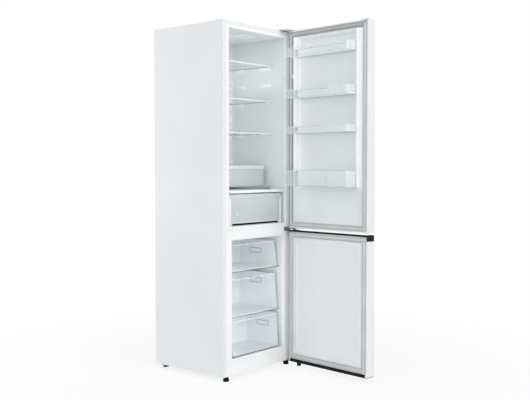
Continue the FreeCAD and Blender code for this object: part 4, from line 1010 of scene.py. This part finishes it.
def gasket(name, low, high, node):
    """A frame of soft seal: a lip, a groove and a round bead that meets the cabinet."""
    inner = SEAL_WIDTH - 0.1
    seal = block(name, (-SEAL_OUT, DOOR_IN, low), (SEAL_OUT, DOOR_IN + 2, high))
    inset(seal, SEAL_WIDTH, 0, lambda p, n: abs(n.y) > ALONG)
    drop(seal, lambda p, n: abs(n.y) > ALONG and abs(p.x) < 10 and low + 40 < p.z < high - 40)
    pick(seal, "EDGE", lambda p, n: abs(p.x) < SEAL_IN + 0.6 and low + inner < p.z < high - inner)
    bpy.ops.mesh.bridge_edge_loops()
    put_back()
    set_right(seal)

    inset(seal, 3, 0, lambda p, n: n.y > ALONG)
    for width, rise, reach in ((0.8, -1.2, 12), (4.4, 0, 11), (0.8, 5.2, 7), (2.4, 1, 6)):
        inset(seal, width, rise, lambda p, n: n.y > ALONG and strip_share(p, low, high) < reach)
    coat(seal, FINISH["gasket"])
    # Painted shade: the grooves are painted darker than the rest of the seal.
    paint(seal, groove_painted_shade, lambda p, n: p.y < -6.2 and n.y > 0.3)
    if node == "fridge_door_gasket":
        # Painted shade on the upper seal: along its top strip, and in its grooves on the hinge side,
        # where the open door shades them.
        paint(seal, top_seal_painted_shade, lambda p, n: p.z > high - SEAL_WIDTH and abs(p.x) < high - p.z + SEAL_IN)
        paint(seal, hinge_gap_painted_shade, lambda p, n: p.x > SEAL_IN and n.y > 0.3 and p.y < -5.8)
    settle(seal, node)


def strip_share(p, low, high):
    """How far a point lies from the middle line of a gasket's frame."""
    half = SEAL_WIDTH / 2
    across = abs(abs(p.x) - SEAL_OUT + half)
    along = min(abs(p.z - low - half), abs(p.z - high + half))
    return min(across, along)


def upper_door_liner():
    """The inner face, with a raised dyke down each side that slopes off to the gasket."""
    top, foot, head_low = 1954, 1063, 1928
    field, crest_in, crest_out = 226, 228, 243
    panel = block("upper_door_tub", (-LINER_HALF, LINER_BACK, UPPER_LOW),
                  (LINER_HALF, DOOR_IN, UPPER_HIGH))
    score(panel, "X", -SEAL_IN, -crest_out, -crest_in, -field, -200)
    score(panel, "X", 200, field, crest_in, crest_out, SEAL_IN)
    score(panel, "Z", 870, 1053, foot, 1093, 1914, head_low, top)

    def upright(p, inner, outer):
        return inner < abs(p.x) < outer and foot < p.z < top

    pull(panel, (0, 6, 0), lambda p, n: n.y > ALONG and upright(p, crest_in, SEAL_IN))
    shift(panel, (0, -5, 0), lambda p, n: p.y > -3 and abs(p.x) > SEAL_IN - 1)
    pull(panel, (0, 10, 0), lambda p, n: n.y > ALONG and abs(p.x) < crest_in and head_low < p.z < top)
    pull(panel, (0, 15, 0), lambda p, n: n.y > ALONG and upright(p, crest_in, crest_out) and p.y > -3)
    shift(panel, (0, 0, 20), lambda p, n: p.y > -7 and abs(p.z - foot) < 1)
    shift(panel, (0, 0, 14), lambda p, n: (
        p.y > -7 and abs(p.z - head_low) < 1 and abs(p.x) < crest_in - 0.1
    ))
    pull(panel, (0, 3, 0), lambda p, n: n.y > ALONG and abs(p.x) < crest_out and 870 < p.z < 1053)
    pull(panel, (0, 3, 0), lambda p, n: (
        n.y > ALONG and 200 < abs(p.x) < field and 1093 < p.z < 1914 and p.y < -7
    ))
    round_off(panel, 2.4, 3, lambda p, n: (
        p.y > 12 and (abs(n.z) > ALONG or abs(p.z - top) < 1 or p.z < foot + 27)
    ))
    nub = block("nub", (234, 8, 1714), (243, 22, 1738))
    round_off(nub, 3.5, 4, lambda p, n: p.y > 21.9)
    presser = block("presser", (241, -6, 1726), (247.2, 4.9, 1736))
    round_off(presser, 1, 2, lambda p, n: p.y > 4.8)
    hooks = []
    for low, height in BINS:
        rest = low + height - 14.3
        hook = block("hook", (224.3, -1, rest - 9), (229, 9, rest))
        round_off(hook, 1.5, 2, lambda p, n: p.x < 225)
        hooks += [hook, mirrored(hook, "hook")]
    join(panel, nub, presser, *hooks)
    coat(panel, FINISH["liner_plastic"])
    # Painted light: the dykes, and a strip by the hinge-side crest, are painted whiter than the rest of
    # the same liner plastic.
    paint(panel, dyke_lit_white, lambda p, n: foot - 1 < p.z < top + 1 and (
        field < abs(p.x) < SEAL_IN or 206 < p.x < crest_in) and p.y > -8.1)
    settle(panel, "fridge_door_liner")


def lower_door_liner():
    """The inner face: a low step and a ridge round a sunk field."""
    step, ridge, field = (260, 76, 778.5), (246, 90, 764.5), (226, 110, 744.5)
    panel = block("lower_door_tub", (-LINER_HALF, LINER_BACK, 48), (LINER_HALF, DOOR_IN, LOWER_HIGH))
    score(panel, "X", -268.5, 268.5)
    pull(panel, (0, 0, 25), lambda p, n: n.z > ALONG and abs(p.x) < 268)
    score(panel, "X", -step[0], -ridge[0], -field[0], field[0], ridge[0], step[0])
    score(panel, "Z", step[1], ridge[1], field[1], field[2], ridge[2], step[2])
    for (half, low, high), rise in ((step, 2), (ridge, 3), (field, -4)):
        pull(panel, (0, rise, 0), lambda p, n: n.y > ALONG and abs(p.x) < half and low < p.z < high)
    for half, low, high in (ridge, field):
        round_off(panel, 1.2, 3, lambda p, n: abs(p.y + 3) < 0.1 and (
            (abs(abs(p.x) - half) < 0.1 and abs(n.z) > ALONG and low < p.z < high)
            or (min(abs(p.z - low), abs(p.z - high)) < 0.1 and abs(n.x) > ALONG and abs(p.x) < half)))
    # Painted light: the lower door's face takes a lighter copy of the liner plastic than the upper
    # door's.
    coat(panel, low_door_lit_white)
    settle(panel, "freezer_door_liner")


def door_bin(number, low, height):
    """A bottle bin: narrow between the dykes, and wider in front of them."""
    top, half, front, end, haze_end, edge = low + height, 235, 90, 219, -88, 3.5
    case = block(f"bottle_bin_{number}", (-half, -4, low), (half, front, top))
    score(case, "Y", 15.5, 19)
    for side in (-1, 1):
        shift(case, (-11 * side, 0, 0), lambda p, n: p.x * side > half - 1 and p.y < 16)
    drop(case, lambda p, n: n.z > ALONG)
    round_off(case, 18, 6, lambda p, n: abs(n.z) > ALONG and p.y > front - 1)
    round_off(case, 3, 3, lambda p, n: abs(n.z) > ALONG and p.y < -3)
    round_off(case, 2.6, 3, lambda p, n: p.z < low + 0.1 and (abs(p.x) > 10 or p.y < 0 or p.y > 80))
    score(case, "Z", low + edge, top - edge)
    score(case, "X", haze_end)
    thicken(case, DRAWER_WALL)
    round_off(case, 0.5, 2, lambda p, n: p.z > top - 0.1 and abs(n.z) < 0.1)
    ear = block("ear", (222.5, -1, top - 14), (227.7, 9, top - 3))
    round_off(ear, 1.2, 2, lambda p, n: p.x > 227.6)
    join(case, ear, mirrored(ear, "ear"))
    coat(case, bin_film)
    paint(case, FINISH["liner_plastic"], lambda p, n: p.y < 0)
    if number > 1:
        paint(case, bin_haze, lambda p, n: -end < p.x < haze_end and p.y > 80 and abs(n.z) < 0.5)
    paint(case, frosted_end, lambda p, n: p.x < -end and low + edge < p.z < top - edge)
    paint(case, clear_end, lambda p, n: p.x > end and low + edge < p.z < top - edge)
    paint(case, frosted_rim, lambda p, n: abs(p.x) > end and p.z < low + edge and abs(n.z) < ALONG)
    paint(case, rim_line, lambda p, n: p.z > top - edge or (
        p.z < low + edge and abs(n.z) < ALONG and abs(p.x) < end))
    settle(case, f"door_bin_{number}")


door_skin("upper_door_skin", UPPER_LOW, UPPER_HIGH, "fridge_door_skin")
door_skin("lower_door_skin", 30, LOWER_HIGH, "freezer_door_skin")
caps()
gasket("upper_door_seal", 837.5, 1990.5, "fridge_door_gasket")
gasket("lower_door_seal", 48, 807.5, "freezer_door_gasket")
upper_door_liner()
lower_door_liner()
for bin_number, (bin_low, bin_height) in enumerate(BINS, start=1):
    door_bin(bin_number, bin_low, bin_height)
from_frame("freezer_door_handle", "handle_profile", 0.9)
from_frame("freezer_door_base", "lower_door_foot", 0.6)


# ------ hinges, feet and machinery

def foot(name, x):
    """A levelling foot: a fluted sole on a threaded stud."""
    y = 11
    sole = round_bar(name, "Z", (x, y, 0), 16.5, 16.5, 36)
    round_off(sole, 1.2, 2, lambda p, n: p.z < 0.1)
    inset(sole, 1.2, -0.9, lambda p, n: abs(n.z) < 0.1 and round(
        math.degrees(math.atan2(n.y, n.x)) / 10 - 0.5) % 2 == 0, each=True)
    inset(sole, 4.5, 0, lambda p, n: n.z > ALONG)
    pull(sole, (0, 0, 6), lambda p, n: n.z > ALONG and Vector((p.x - x, p.y - y)).length < 1)
    stud = round_bar("stud", "Z", (x, y, 22), 4, 20.5, 24)
    score(stud, "Z", *[24 + step for step in range(0, 18, 2)])
    coat(sole, rubber)
    coat(stud, FINISH["zinc_steel"])
    return join(sole, stud)


def roller(name, x):
    """A rubber wheel with two grooves and a bore for its axle."""
    y, radius, half = 512, 12.5, 18
    wheel = round_bar(name, "X", (x - half, y, radius), radius, half * 2, 36)
    round_off(wheel, 1.2, 3, lambda p, n: abs(abs(p.x - x) - half) < 0.1)
    score(wheel, "X", x - 7, x - 5, x + 5, x + 7)
    coat(wheel, rubber)
    bore = round_bar("bore", "X", (x - half - 2, y, radius), 3.05, half * 2 + 4)
    return punch(wheel, bore)


def compressor():
    """A welded can on two bars: domed top, a seam, a terminal box and rubber feet."""
    x, y, low, tall, seam_low, seam_high, spread = 70, 445.75, 39.5, 150, 104, 108, 62
    can = round_bar("compressor_can", "Z", (x, y, low), 78, tall, 56)
    round_off(can, 46, 9, lambda p, n: p.z > low + tall - 0.5 and abs(n.z) < 0.1)
    round_off(can, 18, 5, lambda p, n: p.z < low + 0.1 and abs(n.z) < 0.1)
    score(can, "Z", seam_low, seam_high)
    inset(can, 0.6, 1.4, lambda p, n: abs(n.z) < 0.1 and seam_low < p.z < seam_high)
    terminals = block("terminal_box", (x - 24, y + 66, 92), (x + 24, y + 92, 142))
    soften(terminals, 3, 3)
    extras = [terminals]
    for bar_x in (x - spread, x + spread):
        bar = block("bar", (bar_x - 11, y - 73, low), (bar_x + 11, y + 73, low + 3))
        soften(bar, 1.2)
        extras.append(bar)
        for mount_y in (y - spread, y + spread):
            mount = round_bar("mount", "Z", (bar_x, mount_y, low - 12), 9, 12, 24)
            round_off(mount, 2, 3, lambda p, n: abs(n.z) < 0.1 and p.z > low - 0.5)
            coat(mount, rubber)
            extras.append(mount)
    stub = round_bar("stub", "Y", (x - 40, y + 40, 130), 3.5, 52, 20)
    coat(stub, FINISH["copper_pipe"])
    extras.append(stub)
    for piece in (can, *extras):
        if not piece.data.materials:
            coat(piece, FINISH["black_steel"])
    settle(join(can, *extras), "compressor")


def tray():
    low = 189.5
    pan = block("water_pan", (-25, 370.75, low), (165, 520.75, low + 30))
    drop(pan, lambda p, n: n.z > ALONG)
    round_off(pan, 14, 5, lambda p, n: abs(n.z) > ALONG)
    round_off(pan, 4, 3, lambda p, n: p.z < low + 0.1)
    thicken(pan, 2)
    settle(pan, "drip_tray")


def lamp_lens():
    low, high = 1951, FRIDGE[2]
    lens = block("lamp_lens", (-70, 60, low), (70, 140, high))
    round_off(lens, 4, 4, lambda p, n: p.z < low + 0.1)
    score(lens, "X", *range(-60, 61, 10))
    inset(lens, 1.4, -0.7, lambda p, n: n.z < -ALONG and abs(p.x) < 60 and p.z < low + 1, each=True)
    settle(lens, "lamp_cover")


settle(foot("front_foot_left", -267.5), "levelling_foot_left")
settle(foot("front_foot_right", 267.5), "levelling_foot_right")
settle(roller("wheel_left", -249), "rear_roller_left")
settle(roller("wheel_right", 249), "rear_roller_right")
compressor()
tray()
lamp_lens()
for node, name, width in (
    ("fridge_air_duct", "cold_air_duct", 0.8), ("top_hinge", "hinge_top", 0.5),
    ("hinge_covers", "top_covers", 0.5), ("middle_hinge", "hinge_middle", 0.5),
    ("bottom_hinge", "hinge_bottom", 0.5), ("cord_gland", "cable_gland", 0.6),
    ("base_plate", "base_sheet", 0.3), ("evaporator_fan", "fan_wheel", 0.3),
    ("door_switch_housing", "switch_case", 0.6), ("door_switch_plunger", "switch_pin", 0.3),
    ("cabinet_screws", "pan_head_screws", 0.5),
):
    from_frame(node, name, width)
for name, finish in (("hinge_top", FINISH["gasket"]), ("hinge_middle", hinge_grey),
                     ("switch_case", FINISH["lamp_plastic"])):
    coat(bpy.data.objects[name], finish)
# A thin floor hides the hollow of the hinge cover, which shows from below past the open door.
cover_floor = block("cover_floor", (195.6, -59.6, 2003.2), (293.9, -0.5, 2003.8))
cover_floor.data.transform(place_of("hinge_covers"))
coat(cover_floor, FINISH["white_plastic"])
join(bpy.data.objects["top_covers"], cover_floor)
for node in ("condenser", "evaporator", "evaporator_fan_motor"):
    coat(frame["nodes"][node], FINISH[SLOT[node]])
